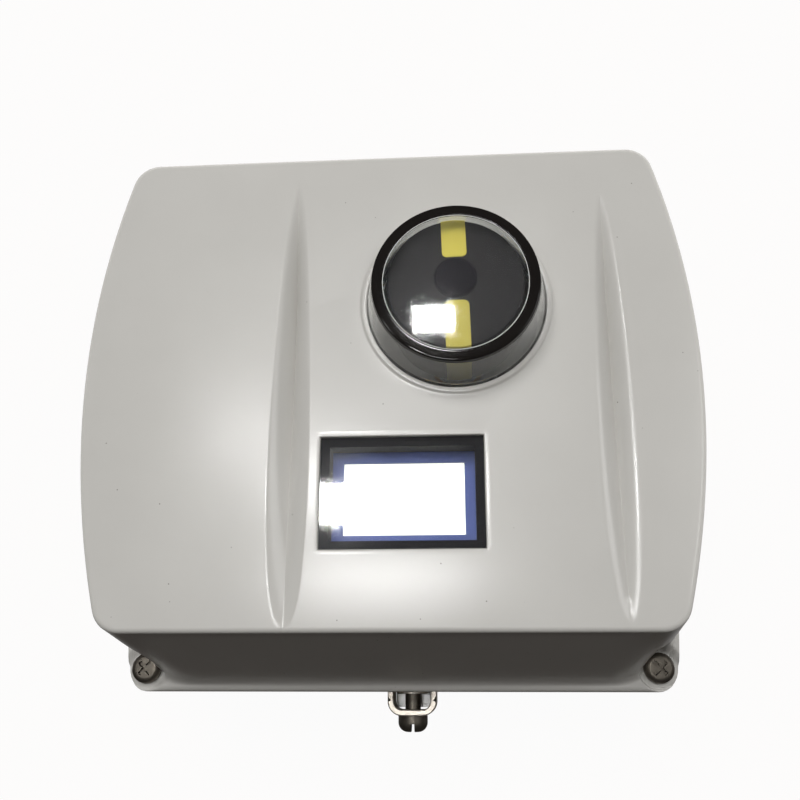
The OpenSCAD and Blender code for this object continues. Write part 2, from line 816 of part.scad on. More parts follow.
// A pan head with a rounded rim, seat at height 0, and a crossed or straight slot.
module pan_head(d, h, cross) {
    rim = h * head_round;
    reach = cross ? d * cross_reach : d;
    difference() {
        rotate_extrude()
            intersection() {
                square([d / 2, h]);
                union() {
                    square([d / 2, h - rim]);
                    translate([d / 2 - rim, h - rim]) circle(rim);
                    square([d / 2 - rim, h]);
                }
            }
        for (a = cross ? [0, 90] : [0])
            rotate(a)
                translate([-reach, -slot_w / 2, h * recess_depth])
                    cube([2 * reach, slot_w, h]);
    }
}

module cap_screw(z, grip) {
    difference() {
        union() {
            rod(fix_head_d / 2, z, z + fix_head_h);
            rod(fix_d / 2, z - grip, z + overlap);
        }
        translate([0, 0, z + fix_head_h / 2]) cylinder(r = fix_d / 2, h = fix_head_h, $fn = 6);
    }
}

// A turned bush with its collar on top, for a shaft of the main diameter.
module bush(z0, z1) {
    difference() {
        union() {
            rod(shaft_d / 2 + bush_t, z0, z1 + overlap);
            rod(shaft_d / 2 + bush_t + bush_collar, z1, z1 + bush_collar_t);
        }
        rod(shaft_d / 2 + run_gap, z0 - cut, z1 + bush_collar_t + cut);
    }
}

module housing() {
    color("Silver")
    difference() {
        union() {
            difference() {
                union() {
                    at_case() {
                        slab(rim_z, base_h) polygon(flange_outline());
                        loft([at_height(pad_t, wall_outline(housing_draft)),
                              at_height(rim_z + overlap, wall_outline(rim_step))]);
                        translate([earth_x - clamp_w / 2 - earth_boss_side, -clamp_face,
                                   earth_boss_z])
                            cube([clamp_w + 2 * earth_boss_side,
                                  clamp_face - flange_h / 2 + hollow_inset + overlap,
                                  rim_z + overlap - earth_boss_z]);
                        translate([earth_x - clamp_w / 2 + clamp_t, -clamp_face - shelf_reach,
                                   earth_boss_z])
                            cube([clamp_w - 2 * clamp_t, shelf_reach + overlap,
                                  earth_z - clamp_h / 2 - shelf_gap - earth_boss_z]);
                    }
                    back_ribs();
                    cover_corners()
                        rod(lug_r, head_z - cover_screw_l - screw_spare - lug_floor,
                            rim_z + overlap);
                }
                at_case() slab(floor_z, base_h + cut) polygon(hollow_outline());
            }
            slab(0, pad_t + overlap) round_rect(pad_w, pad_h, pad_corner);
            rod(boss_r, 0, boss_h);
            mount_places() rod(mount_boss_r, 0, mount_depth + mount_roof);
        }
        rod(shaft_d / 2 + bush_t, bush_z, boss_h + cut);
        rod(shaft_d / 2 + seal_t, -cut, bush_z);
        mount_places() rod(mount_hole_d / 2, -cut, mount_depth);
        bridge_places()
            rod(fix_d / 2 + fit_gap, floor_z - bridge_grip - screw_spare, floor_z + cut);
        cover_corners()
            rod(cover_screw_d / 2 + fit_gap, head_z - cover_screw_l - screw_spare,
                base_h + cut);
        port_block_space(fit_gap);
        entry_block_space(fit_gap);
        at_case() translate([valve_x, port_y])
            rod(filter_d / 2 + fit_gap, pad_t - cut, floor_z + cut);
        at_case() translate([earth_x, -clamp_face, earth_z]) rotate([-90, 0, 0])
            rod(earth_screw_d / 2 + fit_gap, -cut, earth_screw_in + screw_spare);
    }
}

// Low ribs on the back of the casting, from edge to edge.
module back_ribs() {
    intersection() {
        at_case() slab(pad_t - rib_h, pad_t + overlap) polygon(wall_outline(housing_draft + rib_in));
        at_case(pad_t - rib_h)
            for (i = [-1, 0, 1]) {
                translate([i * rib_pitch - rib_w / 2, -flange_h])
                    cube([rib_w, 2 * flange_h, rib_h + overlap]);
                translate([-flange_w, i * rib_pitch - rib_w / 2])
                    cube([2 * flange_w, rib_w, rib_h + overlap]);
            }
    }
}

module port_block() {
    color("Gainsboro")
    difference() {
        port_block_space(0);
        port_places() translate([port_face, 0, port_z]) rotate([0, 90, 0]) {
            rod(port_d / 2, -port_depth, cut);
            rod(gallery_d / 2, valve_x - port_face, 0);
        }
        port_places() translate([valve_x, 0]) rod(gallery_d / 2, port_z, rim_z + cut);
        at_case() translate([valve_x, port_y]) rod(gallery_d / 2, floor_z - cut, port_z);
        valve_screw_places()
            rod(fix_d / 2 + fit_gap, rim_z - fix_grip - screw_spare, rim_z + cut);
    }
}

module entry_block() {
    color("Gainsboro")
    difference() {
        entry_block_space(0);
        entry_places() translate([-port_face, 0, port_z]) rotate([0, 90, 0])
            rod(entry_d / 2, -cut, entry_w + cut);
    }
}

module exhaust_filter() {
    color("Peru")
    at_case() translate([valve_x, port_y]) rod(filter_d / 2, pad_t + filter_in, floor_z);
}

module cover_gasket() {
    color("DimGray")
    difference() {
        at_case() slab(base_h, seat_z)
            difference() {
                polygon(flange_outline(gasket_in));
                polygon(hollow_outline());
            }
        cover_corners() rod(cover_screw_d / 2 + screw_gap, base_h - cut, seat_z + cut);
    }
}

module lower_bush() {
    color("Goldenrod") bush(bush_z, boss_h);
}

module shaft_seal() {
    color("DimGray")
    difference() {
        rod(shaft_d / 2 + seal_t, seal_z, seal_z + seal_h);
        rod(shaft_d / 2 + run_gap, 0, seal_z + seal_h + cut);
        translate([0, 0, seal_z + seal_h]) rotate_extrude()
            translate([shaft_d / 2 + seal_t / 2, 0]) circle(seal_t / 4);
    }
}

module bearing_bridge() {
    color("LightSteelBlue")
    difference() {
        union() {
            bridge_places() rod(pillar_r, floor_z, bridge_z + overlap);
            slab(bridge_z, bridge_z + bridge_t) {
                bridge_places() circle(pillar_r + bridge_lip);
                square([2 * bridge_reach, 2 * pillar_r], center = true);
                circle(bridge_eye / 2);
            }
        }
        bridge_places() rod(fix_d / 2 + fit_gap, floor_z - cut, bridge_z + bridge_t + cut);
        rod(shaft_d / 2 + bush_t, bridge_z - cut, bridge_z + bridge_t + cut);
    }
}

module bridge_screws() {
    color("DarkGray")
    bridge_places()
        cap_screw(bridge_z + bridge_t, bridge_z + bridge_t - floor_z + bridge_grip);
}

module upper_bush() {
    color("Goldenrod") bush(bridge_z, bridge_z + bridge_t);
}

module position_sensor() {
    color("DarkSlateGray")
    translate([0, mesh_distance])
        difference() {
            union() {
                rod(sensor_r, floor_z, floor_z + sensor_h - sensor_step);
                rod(sensor_r - sensor_step, floor_z, floor_z + sensor_h);
                slab(floor_z, floor_z + ear_t)
                    square([2 * (sensor_r + ear_reach), ear_w], center = true);
            }
            rod(spindle_d / 2 + run_gap, floor_z + sensor_floor, floor_z + sensor_h + cut);
        }
}

module spool_valve_body() {
    color("Lavender")
    at_case()
        difference() {
            translate([valve_x - valve_w / 2, port_y - valve_l / 2, valve_z])
                cube([valve_w, valve_l, valve_w]);
            translate([valve_x, port_y, spool_z]) rotate([90, 0, 0])
                rod(spool_d / 2 + run_gap, -valve_l, valve_l);
            translate([-case_x, -case_y]) {
                valve_screw_places() rod(fix_d / 2 + fit_gap, valve_z - cut, valve_z + valve_w + cut);
                port_places() translate([valve_x, 0]) rod(gallery_d / 2, valve_z - cut, spool_z);
            }
        }
}

module spool_end_plugs() {
    color("DarkGray")
    at_case()
        for (i = [-1, 1])
            translate([valve_x, port_y + i * valve_l / 2, spool_z]) rotate([-90 * i, 0, 0]) {
                rod(plug_collar_d / 2, 0, plug_collar_t);
                cylinder(d = plug_af / cos(30), h = plug_t, $fn = 6);
            }
}

module valve_screws() {
    color("DarkGray")
    valve_screw_places() cap_screw(valve_z + valve_w, valve_w + fix_grip);
}

module prestage_unit() {
    color("SlateGray")
    at_case() translate([valve_x, port_y, valve_z + valve_w]) {
        slab(0, prestage_t) round_rect(valve_w - fix_head_d / 2, prestage_l, prestage_corner);
        rod(coil_r, 0, prestage_t + coil_h);
        rod(coil_r - coil_step, 0, prestage_t + coil_h + coil_step);
    }
}

module electronics_case() {
    color("DimGray")
    difference() {
        union() {
            difference() {
                at_case() translate([elec_x, elec_y]) slab(floor_z, panel_z - panel_t)
                    round_rect(elec_w, elec_h, elec_corner);
                at_case() translate([elec_x, elec_y]) slab(floor_z + elec_t, panel_z)
                    round_rect(elec_w - 2 * elec_t, elec_h - 2 * elec_t, elec_corner - elec_t);
            }
            post_places() rod(post_r, floor_z + overlap, floor_z + controller_z);
        }
        post_places()
            rod(post_hole_d / 2, floor_z + controller_z - post_hole_l,
                floor_z + controller_z + cut);
    }
}

module board_outline() {
    inset = elec_t + board_gap;
    at_case() translate([elec_x, elec_y])
        round_rect(elec_w - 2 * inset, elec_h - 2 * inset, elec_corner - elec_t);
}

module controller_board() {
    z = floor_z + controller_z + board_t;
    side = elec_w / 2 - elec_t - board_gap - parts_in;
    color("DarkGreen") {
        slab(z - board_t, z) board_outline();
        at_case() translate([elec_x, elec_y]) {
            slab(z - overlap, z + chip_h) square(chip_w, center = true);
            translate([converter_w / 2 - side, -converter_w / 2])
                slab(z - overlap, z + converter_h)
                    square([converter_w, converter_l], center = true);
            translate([side - capacitor_d / 2, 0])
                rod(capacitor_d / 2, z - overlap, z + capacitor_h);
        }
    }
}

module board_spacers() {
    color("Silver")
    post_places()
        difference() {
            rod(spacer_d / 2, floor_z + controller_z + board_t, ui_board_z - board_t);
            rod(post_hole_d / 2, floor_z, ui_board_z);
        }
}

module key_places(which) {
    at_case() translate([elec_x + (which - mid_key) * key_pitch, key_y]) children();
}

module ui_board() {
    color("DarkGreen") {
        slab(ui_board_z - board_t, ui_board_z) board_outline();
        for (i = [1 : 4])
            key_places(i)
                rod(switch_d / 2, ui_board_z - overlap,
                    panel_z - panel_t - key_collar_t - key_travel - fit_gap);
    }
}

module ui_panel() {
    color("RoyalBlue")
    difference() {
        at_case() translate([elec_x, elec_y]) slab(panel_z - panel_t, panel_z)
            round_rect(elec_w, elec_h, elec_corner);
        at_case() translate([pane_x, pane_y]) slab(panel_z - panel_t - cut, panel_z + cut)
            square([view_w, view_h], center = true);
        for (i = [1 : 4])
            key_places(i) rod(key_d / 2 + key_gap, panel_z - panel_t - cut, panel_z + cut);
    }
}

module lcd_module() {
    color("Ivory")
    at_case() translate([pane_x, pane_y]) {
        slab(ui_board_z, panel_z - panel_t)
            square([view_w + 2 * lcd_border, view_h + 2 * lcd_border], center = true);
        slab(ui_board_z, panel_z - view_sink)
            square([view_w - 2 * fit_gap, view_h - 2 * fit_gap], center = true);
    }
}

module button(which) {
    color("WhiteSmoke")
    key_places(which) {
        rod(key_d / 2 + key_collar, panel_z - panel_t - key_collar_t, panel_z - panel_t);
        rod(key_d / 2, panel_z - panel_t - key_collar_t, panel_z + key_rise - key_round);
        rod(key_d / 2 - key_round, panel_z - panel_t, panel_z + key_rise);
    }
}

module terminal_block() {
    color("OliveDrab")
    difference() {
        at_case() translate([term_x - term_w / 2, term_y - term_l / 2, floor_z])
            difference() {
                cube([term_w, term_l, term_h]);
                translate([-cut, -cut, term_h - term_step_h])
                    cube([term_step_w + cut, term_l + 2 * cut, term_h]);
            }
        terminal_places() {
            rod(term_screw_d / 2 + fit_gap, floor_z + term_h - term_screw_l - term_screw_sink,
                floor_z + term_h + cut);
            translate([0, 0, floor_z + wire_z]) rotate([0, -90, 0]) rod(wire_d / 2, 0, term_w);
        }
    }
}

module terminal_screws() {
    color("DarkGray")
    terminal_places()
        difference() {
            rod(term_screw_d / 2, floor_z + term_h - term_screw_l - term_screw_sink,
                floor_z + term_h - term_screw_sink);
            translate([-term_screw_d, -slot_w / 2, floor_z + term_h - term_screw_sink - slot_d])
                cube([2 * term_screw_d, slot_w, slot_d + cut]);
        }
}

module earth_place() {
    at_case() translate([earth_x, -clamp_face, earth_z]) rotate([90, 0, 0]) children();
}

// A block with two rounded outer edges, standing on the earth boss's face.
module clamp_bow(w, d, r, h) {
    translate([0, h / 2]) rotate([90, 0, 0]) linear_extrude(h)
        intersection() {
            translate([-w / 2, 0]) square([w, d]);
            translate([0, d / 2 - r]) round_rect(w, d + 2 * r, r);
        }
}

module earth_clamp() {
    color("LightGray")
    earth_place()
        difference() {
            clamp_bow(clamp_w, clamp_d, clamp_round, clamp_h);
            translate([0, 0, -cut])
                clamp_bow(clamp_w - 2 * clamp_t, clamp_d - clamp_t + cut, clamp_round - clamp_t,
                          clamp_h + 2 * cut);
            rod(earth_screw_d / 2 + fit_gap, 0, clamp_d + cut);
        }
}

module earth_washer() {
    color("LightGray")
    earth_place()
        difference() {
            rod(washer_d / 2, 0, washer_t);
            rod(earth_screw_d / 2 + fit_gap, -cut, washer_t + cut);
        }
}

module earth_screw() {
    color("LightGray")
    earth_place() {
        rod(earth_screw_d / 2, -earth_screw_in, clamp_d + overlap);
        translate([0, 0, clamp_d]) rotate(90) pan_head(earth_head_d, earth_head_h, false);
    }
}

// A spindle whose lower side sinks a long lens-shaped groove into the front.
module flute(x) {
    round_r = (flute_w * flute_w / 4 + flute_d * flute_d) / (2 * flute_d);
    run_r = (flute_len * flute_len / 4 + flute_d * flute_d) / (2 * flute_d);
    surface = dome_z(x, flute_y);
    translate([x, flute_y, surface - flute_d + round_r]) rotate([90, 0, 0])
        rotate_extrude()
            intersection() {
                translate([round_r - run_r, 0]) circle(run_r, $fn = 360);
                translate([0, -flute_len / 2]) square([round_r, flute_len]);
            }
}

// Everything under the ball surface that crowns the front.
module front_ball() {
    reach = flange_w;
    rotate_extrude($fn = 180)
        intersection() {
            translate([0, crown_z - dome_r]) circle(dome_r, $fn = 1440);
            square([reach, crown_z + cut]);
        }
}

// One ring of the rounded front edge, a degrees up its quarter round.
function edge_ring(a) =
    let (outer = front_outline(),
         inset = edge_r * (1 - cos(a)),
         ring = front_outline(inset, cover_corner - inset))
    [for (i = [0 : len(ring) - 1])
        [ring[i].x, ring[i].y, dome_z(outer[i].x, outer[i].y) - edge_r * (1 - sin(a))]];

// One ring of the flange's rounded upper edge, a degrees up its quarter round.
function flange_ring(a) =
    at_height(ledge_z - flange_round * (1 - sin(a)), flange_outline(flange_round * (1 - cos(a))));

module cover_flange() {
    loft(concat([at_height(seat_z, flange_outline())], [for (a = flange_angles) flange_ring(a)]));
}

// Flared walls from the foot to the front edge, closed above the ball surface.
module cover_skin() {
    intersection() {
        loft(concat(
            [at_height(seat_z, foot_outline()), at_height(ledge_z, foot_outline())],
            [for (a = edge_angles) edge_ring(a)],
            [at_height(crown_z + cut, front_outline(close_in, cover_corner))]));
        front_ball();
    }
}

module cover_hollow() {
    foot = foot_outline(side_t, inner_foot_corner);
    loft([at_height(seat_z - cut, foot), at_height(ledge_z, foot),
          at_height(ceiling_z, front_outline(side_t, inner_front_corner))]);
}

module collar() {
    foot_r = cap_d / 2 + collar_w;
    top_z = dial_z + collar_rise;
    rotate_extrude() polygon([
        [cap_d / 2, edge_z], [foot_r + collar_round, edge_z],
        [foot_r, top_z - collar_round], [foot_r - collar_round, top_z], [cap_d / 2, top_z]]);
}

module cover() {
    color("Gainsboro")
    difference() {
        union() {
            at_case() {
                cover_flange();
                cover_skin();
            }
            at_window() collar();
        }
        at_case() {
            cover_hollow();
            flute(flute_mid - flute_x);
            flute(flute_mid + flute_x);
            translate([pane_x, pane_y]) slab(ceiling_z - cut, cap_z)
                square([pane_w + 2 * window_gap, pane_h + 2 * window_gap], center = true);
        }
        at_window() rod(cap_d / 2 + window_gap, ceiling_z - cut, cap_z);
        cover_corners() {
            rod(cover_screw_d / 2 + screw_gap, seat_z - cut, ledge_z + cut);
            rod(pocket_d / 2, head_z, edge_z);
        }
        retainer_places()
            rod((small_d + fit_gap) / 2, ceiling_z - cut, ceiling_z + small_grip + small_spare);
    }
}

// Clear cap: a flange under the cover, tapered walls and a flat top with a ring seat.
module indicator_window() {
    color("LightCyan", 0.4)
    at_window()
        difference() {
            rotate_extrude() polygon([
                [0, flange_z], [cap_flange_r, flange_z],
                [cap_flange_r, flange_z + cap_flange_t], [cap_d / 2, flange_z + cap_flange_t],
                [cap_d / 2, dial_z], [cap_top_d / 2 + cap_slope * ring_t, cap_z - ring_t],
                [ring_seat_r, cap_z - ring_t], [ring_seat_r, cap_z], [0, cap_z]]);
            rotate_extrude() polygon([
                [0, flange_z - cut], [cap_inner_r, flange_z - cut], [cap_inner_r, dial_z],
                [cap_inner_r - cap_slope * (cap_h - cap_t), cap_z - cap_t],
                [0, cap_z - cap_t]]);
        }
}

module window_ring() {
    color("Black")
    at_window() rotate_extrude() polygon([
        [ring_seat_r, cap_z - ring_t], [cap_top_d / 2 + cap_slope * ring_t, cap_z - ring_t],
        [cap_top_d / 2, cap_z], [ring_seat_r, cap_z]]);
}

module window_gasket() {
    color("DimGray")
    at_window()
        difference() {
            rod(cap_flange_r, flange_z + cap_flange_t, ceiling_z);
            rod(cap_d / 2 + window_gap, flange_z, ceiling_z + cut);
        }
}

module window_retainer() {
    z = flange_z - retainer_t;
    color("LightGray")
    difference() {
        at_window()
            difference() {
                rod(retainer_r, z, ceiling_z);
                rod(cap_inner_r, z - cut, ceiling_z + cut);
                rod(cap_flange_r + fit_gap, flange_z, ceiling_z + cut);
            }
        retainer_places() rod(small_d / 2 + fit_gap, z - cut, ceiling_z + cut);
    }
}

module retainer_screws() {
    z = flange_z - retainer_t;
    color("DarkGray")
    retainer_places() {
        rod(small_d / 2, z - overlap, ceiling_z + small_grip);
        translate([0, 0, z]) mirror([0, 0, 1]) pan_head(small_head_d, small_head_h, true);
    }
}

module lcd_window() {
    color("LightCyan", 0.4)
    at_case() translate([pane_x, pane_y]) slab(pane_z - pane_t, pane_z)
        square([pane_w, pane_h], center = true);
}

module lcd_mask() {
    color("Black")
    at_case() translate([pane_x, pane_y])
        difference() {
            union() {
                slab(panel_z + mask_gap, pane_z - pane_t) square([pane_w, pane_h], center = true);
                slab(ceiling_z - mask_flange_t, ceiling_z)
                    square([pane_w + 2 * mask_flange, pane_h + 2 * mask_flange], center = true);
            }
            slab(panel_z, pane_z) square([pane_w - 2 * mask_w, pane_h - 2 * mask_w], center = true);
        }
}

module cover_screws() {
    color("LightGray")
    cover_corners() {
        rod(cover_screw_d / 2, head_z - cover_screw_l, head_z + overlap);
        translate([0, 0, head_z]) rotate(45) pan_head(cover_head_d, cover_head_h, true);
    }
}

module feedback_shaft() {
    spigot_end = -shoulder - spigot_l;
    color("LightSteelBlue")
    difference() {
        union() {
            slab(spigot_end - tongue_l, spigot_end + overlap)
                square([tongue_w, tongue_t], center = true);
            rod(spigot_d / 2, spigot_end, overlap);
            rod(shaft_d / 2, -shoulder, clip_z + clip_t + clip_land);
            rod(stem_d / 2, clip_z, drum_hub_z - drum_roof);
        }
        difference() {
            rod(shaft_d, clip_z, clip_z + clip_t);
            rod(shaft_d / 2 - clip_in, clip_z - cut, clip_z + clip_t + cut);
        }
    }
}

module shaft_clip() {
    color("DarkGray")
    difference() {
        rod(shaft_d / 2 - clip_in + clip_w, clip_z, clip_z + clip_t);
        rod(shaft_d / 2 - clip_in, clip_z - cut, clip_z + clip_t + cut);
        translate([0, -clip_mouth / 2, clip_z - cut]) cube([shaft_d, clip_mouth, clip_t + 2 * cut]);
    }
}

module shaft_gear() {
    color("Goldenrod")
    difference() {
        union() {
            slab(gear_z, gear_z + gear_t) polygon(gear_outline(gear_teeth));
            rod(shaft_d / 2 + gear_hub_t, gear_z, gear_z + gear_t + gear_hub_h);
        }
        rod(shaft_d / 2, gear_z - cut, gear_z + gear_t + gear_hub_h + cut);
    }
}

module sensor_pinion() {
    color("Goldenrod")
    translate([0, mesh_distance]) {
        rotate(180 / pinion_teeth)
            slab(gear_z, gear_z + gear_t) polygon(gear_outline(pinion_teeth));
        rod(spindle_d / 2, floor_z + sensor_floor + end_gap, gear_z + gear_t + spindle_end);
        rod(spindle_d / 2 + pinion_collar, floor_z + sensor_h + end_gap, gear_z + overlap);
    }
}

// Section of the drum's outer face and side, moved out by d.
module drum_face(d) {
    polygon([
        [0, drum_rim_z - drum_h], [drum_d / 2 + d, drum_rim_z - drum_h],
        [drum_d / 2 + d, drum_rim_z - drum_chamfer + d],
        [drum_d / 2 - drum_chamfer + d, drum_rim_z + d],
        [hub_d / 2, drum_hub_z + d], [0, drum_hub_z + d]]);
}

module stripe_bars() {
    for (i = [0, 180])
        rotate(i + bar_turn) translate([0, stripe_start + drum_d / 2])
            slab(drum_rim_z - drum_h, drum_hub_z + cut)
                round_rect(stripe_w, drum_d, stripe_corner);
}

module pointer_drum() {
    inner_top = drum_rim_z - drum_t;
    color("DimGray")
    difference() {
        rotate_extrude() drum_face(0);
        difference() {
            rod(drum_d / 2 - drum_t, drum_rim_z - drum_h - cut, inner_top);
            rod(stem_d / 2 + drum_t, drum_rim_z - drum_h - 2 * cut, inner_top + cut);
        }
        rod(stem_d / 2, drum_rim_z - drum_h - cut, drum_hub_z - drum_roof);
        difference() {
            stripe_bars();
            rotate_extrude() drum_face(-stripe_in);
        }
    }
}

module pointer_stripes() {
    color("Gold")
    difference() {
        intersection() {
            stripe_bars();
            rotate_extrude() drum_face(stripe_out);
        }
        rotate_extrude() drum_face(-stripe_in);
    }
}

module pointer_cap() {
    color("Black")
    rotate_extrude() polygon([
        [0, drum_hub_z], [hub_d / 2, drum_hub_z], [hub_d / 2, drum_hub_z + hub_h - hub_round],
        [hub_d / 2 - hub_round, drum_hub_z + hub_h], [0, drum_hub_z + hub_h]]);
}

module spool() {
    color("LightGray")
    at_case() translate([valve_x, port_y, spool_z]) rotate([90, 0, 0])
        difference() {
            rod(spool_d / 2, -spool_l / 2, spool_l / 2);
            for (i = [-1.5, -0.5, 0.5, 1.5])
                translate([0, 0, i * land_pitch])
                    difference() {
                        rod(spool_d, -land_gap / 2, land_gap / 2);
                        rod(spool_d / 2 - land_depth, -land_gap, land_gap);
                    }
        }
}

housing();
port_block();
entry_block();
exhaust_filter();
cover_gasket();
lower_bush();
shaft_seal();
bearing_bridge();
bridge_screws();
upper_bush();
position_sensor();
spool_valve_body();
spool_end_plugs();
valve_screws();
prestage_unit();
electronics_case();
controller_board();
board_spacers();
ui_board();
ui_panel();
lcd_module();
terminal_block();
terminal_screws();
earth_clamp();
earth_washer();
earth_screw();
cover();
indicator_window();
window_ring();
window_gasket();
window_retainer();
retainer_screws();
lcd_window();
lcd_mask();
cover_screws();
feedback_shaft();
shaft_clip();
shaft_gear();
pointer_drum();
pointer_stripes();
pointer_cap();
sensor_pinion();
spool();
button(1);  // button_1
button(2);  // button_2
button(3);  // button_3
button(4);  // button_4
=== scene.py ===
# %% [markdown]
# # Dressing a valve positioner
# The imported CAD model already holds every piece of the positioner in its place. This lesson keeps
# that frame, remakes the few pieces whose surface is softer than plain solids can show, and gives
# everything a finish made of shader nodes.

# %% Load the frame
import math

import bmesh
import bpy
import numpy as np
from mathutils import Matrix, Vector


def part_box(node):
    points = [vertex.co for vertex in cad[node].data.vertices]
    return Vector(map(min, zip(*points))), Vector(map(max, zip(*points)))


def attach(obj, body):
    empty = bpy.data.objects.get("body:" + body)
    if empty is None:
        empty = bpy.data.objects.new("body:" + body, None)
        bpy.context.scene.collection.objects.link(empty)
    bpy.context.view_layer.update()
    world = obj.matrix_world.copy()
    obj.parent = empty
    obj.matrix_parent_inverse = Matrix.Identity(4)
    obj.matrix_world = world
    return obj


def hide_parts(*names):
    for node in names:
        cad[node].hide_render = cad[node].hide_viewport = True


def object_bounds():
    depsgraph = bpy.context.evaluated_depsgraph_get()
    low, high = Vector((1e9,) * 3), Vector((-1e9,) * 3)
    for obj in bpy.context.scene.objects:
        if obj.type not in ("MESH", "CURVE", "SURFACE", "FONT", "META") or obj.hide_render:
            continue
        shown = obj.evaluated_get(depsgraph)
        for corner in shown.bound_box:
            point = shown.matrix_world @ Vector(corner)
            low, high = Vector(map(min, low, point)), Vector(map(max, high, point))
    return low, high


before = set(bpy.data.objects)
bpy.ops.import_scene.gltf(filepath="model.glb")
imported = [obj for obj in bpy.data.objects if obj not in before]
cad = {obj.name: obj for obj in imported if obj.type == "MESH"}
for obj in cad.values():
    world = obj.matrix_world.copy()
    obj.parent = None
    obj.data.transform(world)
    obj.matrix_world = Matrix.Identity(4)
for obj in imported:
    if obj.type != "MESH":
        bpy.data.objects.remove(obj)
cad_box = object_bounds()

# %% [markdown]
# ## Reading sizes from the frame
# A drawing for this kind of case is in millimetres, while Blender works in metres. One helper reads
# a node's box in millimetres, so that the new pieces grow out of the CAD sizes and follow them. The
# middle of the cover in plan is called the case centre, and the outlines are worked out around it.


# %% Boxes in millimetres
def box_mm(node):
    """A CAD node's lowest and highest corner, in millimetres."""
    return [np.array(corner) * 1000 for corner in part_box(node)]


cover_lo, cover_hi = box_mm("cover")
case_x, case_y = ((cover_lo + cover_hi) / 2)[:2]
cover_mid_half, cover_half = ((cover_hi - cover_lo) / 2)[:2]
wall_h = 53.0  # from the cover's seat on the housing to the edge of its front
seat_z = cover_lo[2]
edge_z = seat_z + wall_h
print("cover", np.round(cover_hi - cover_lo, 1), "mm, centre", round(case_x, 2), round(case_y, 2))

# %% [markdown]
# ## The camera
# The photograph was taken close to the case, from a little below its middle, so the perspective is
# strong. The camera's place and turn were solved from the outlines of the case, the dial and the
# display pane. A camera that is only eyed in would leave the long sides leaning the wrong way.

# %% Camera
image_px, focal_px, sensor_mm = 800, 907.06, 36
swing, tilt, roll = 0.06945722, 0.30600668, 0.00140483  # radians about y, x and z
stand_off = Vector((3.8167, -7.1164, 257.8127))  # from the front's centre, along the camera's axes
turn = (Matrix.Rotation(swing, 3, "Y") @ Matrix.Rotation(tilt, 3, "X")
        @ Matrix.Rotation(roll, 3, "Z"))
front_centre = Vector((case_x, case_y, edge_z))
eye = front_centre + turn @ stand_off
camera = bpy.data.objects.new("camera", bpy.data.cameras.new("camera"))
camera.data.sensor_width = sensor_mm
camera.data.lens = sensor_mm * focal_px / image_px
camera.data.clip_start = 0.01
camera.matrix_world = Matrix.Translation(eye / 1000) @ turn.to_4x4()
bpy.context.collection.objects.link(camera)
bpy.context.scene.camera = camera
print("camera at", [round(v, 1) for v in eye], "mm, lens", round(camera.data.lens, 2))

# %% [markdown]
# ## Building finishes from nodes
# Every real surface varies a little: paint clouds, plastic takes scuffs, metal carries grain. One
# function adds a node with its settings and links. A second one uses it to lay the three things that
# most surfaces share: a clouded colour, a gloss that wanders and a fine relief. All patterns read
# Object coordinates, so their size is stated in millimetres.


# %% Colour and node helpers
def colour(code):
    """An sRGB hex value as linear red, green, blue and alpha, with the display curve undone."""
    c = np.array([int(code[i:i + 2], 16) for i in (1, 3, 5)]) / 255
    linear = np.where(c <= 0.04045, c / 12.92, ((c + 0.055) / 1.055) ** 2.4)
    return (*linear.tolist(), 1.0)


def add(tree, kind, inputs=None, **settings):
    """Adds one node, sets its own properties, and gives each named input a value or a link."""
    made = tree.nodes.new(kind)
    for name, value in settings.items():
        setattr(made, name, value)
    for name, value in (inputs or {}).items():
        if isinstance(value, bpy.types.NodeSocket):
            tree.links.new(value, made.inputs[name])
        else:
            made.inputs[name].default_value = value
    return made


def blank(holder):
    """The emptied node tree of a material or a world."""
    holder.use_nodes = True
    holder.node_tree.nodes.clear()
    return holder.node_tree


def maths(tree, operation, a, b):
    """The result of one arithmetic node."""
    return add(tree, "ShaderNodeMath", {0: a, 1: b}, operation=operation).outputs[0]


def blend(tree, share, a, b):
    """Colour a turning into colour b as the share grows from 0 to 1."""
    return add(tree, "ShaderNodeMix", {0: share, 6: a, 7: b}, data_type="RGBA").outputs[2]


def layers(name, dark, light, cloud_mm, rough, grain_mm, relief_mm, **shader_values):
    """A clouded, grained surface. Colour runs from dark to light with a noise of cloud size,
    roughness runs over its range with a noise of grain size, and the same grain lifts the surface.
    Gives back the material and the ends that a finish with more layers is built on."""
    material = bpy.data.materials.new(name)
    tree = blank(material)
    where = add(tree, "ShaderNodeTexCoord").outputs["Object"]
    cloud = add(tree, "ShaderNodeTexNoise", {
        "Vector": where, "Scale": 1000 / cloud_mm, "Detail": 4.0})
    tint = blend(tree, cloud.outputs["Fac"], colour(dark), colour(light))
    grain = add(tree, "ShaderNodeTexNoise", {
        "Vector": where, "Scale": 1000 / grain_mm, "Detail": 2.0})
    gloss = add(tree, "ShaderNodeMapRange", {
        "Value": grain.outputs["Fac"], "From Min": 0.3, "From Max": 0.7,
        "To Min": rough[0], "To Max": rough[1]})
    relief = add(tree, "ShaderNodeBump", {
        "Height": grain.outputs["Fac"], "Strength": 0.5, "Distance": relief_mm / 1000})
    shader = add(tree, "ShaderNodeBsdfPrincipled", {
        "Base Color": tint, "Roughness": gloss.outputs["Result"],
        "Normal": relief.outputs["Normal"], **shader_values})
    add(tree, "ShaderNodeOutputMaterial", {"Surface": shader.outputs["BSDF"]})
    return material, tree, where, tint, shader


def finish(*look, **values):
    """A finish that needs nothing beyond the shared layers."""
    return layers(*look, **values)[0]


def finish_rows(socket, rows):
    """A finish for each row. Its columns are the name, the dark and the light colour, cloud in mm,
    roughness from and to, grain in mm, relief in mm, and the value of the named shader input."""
    return [finish(*look, **{socket: value}) for *look, value in rows]


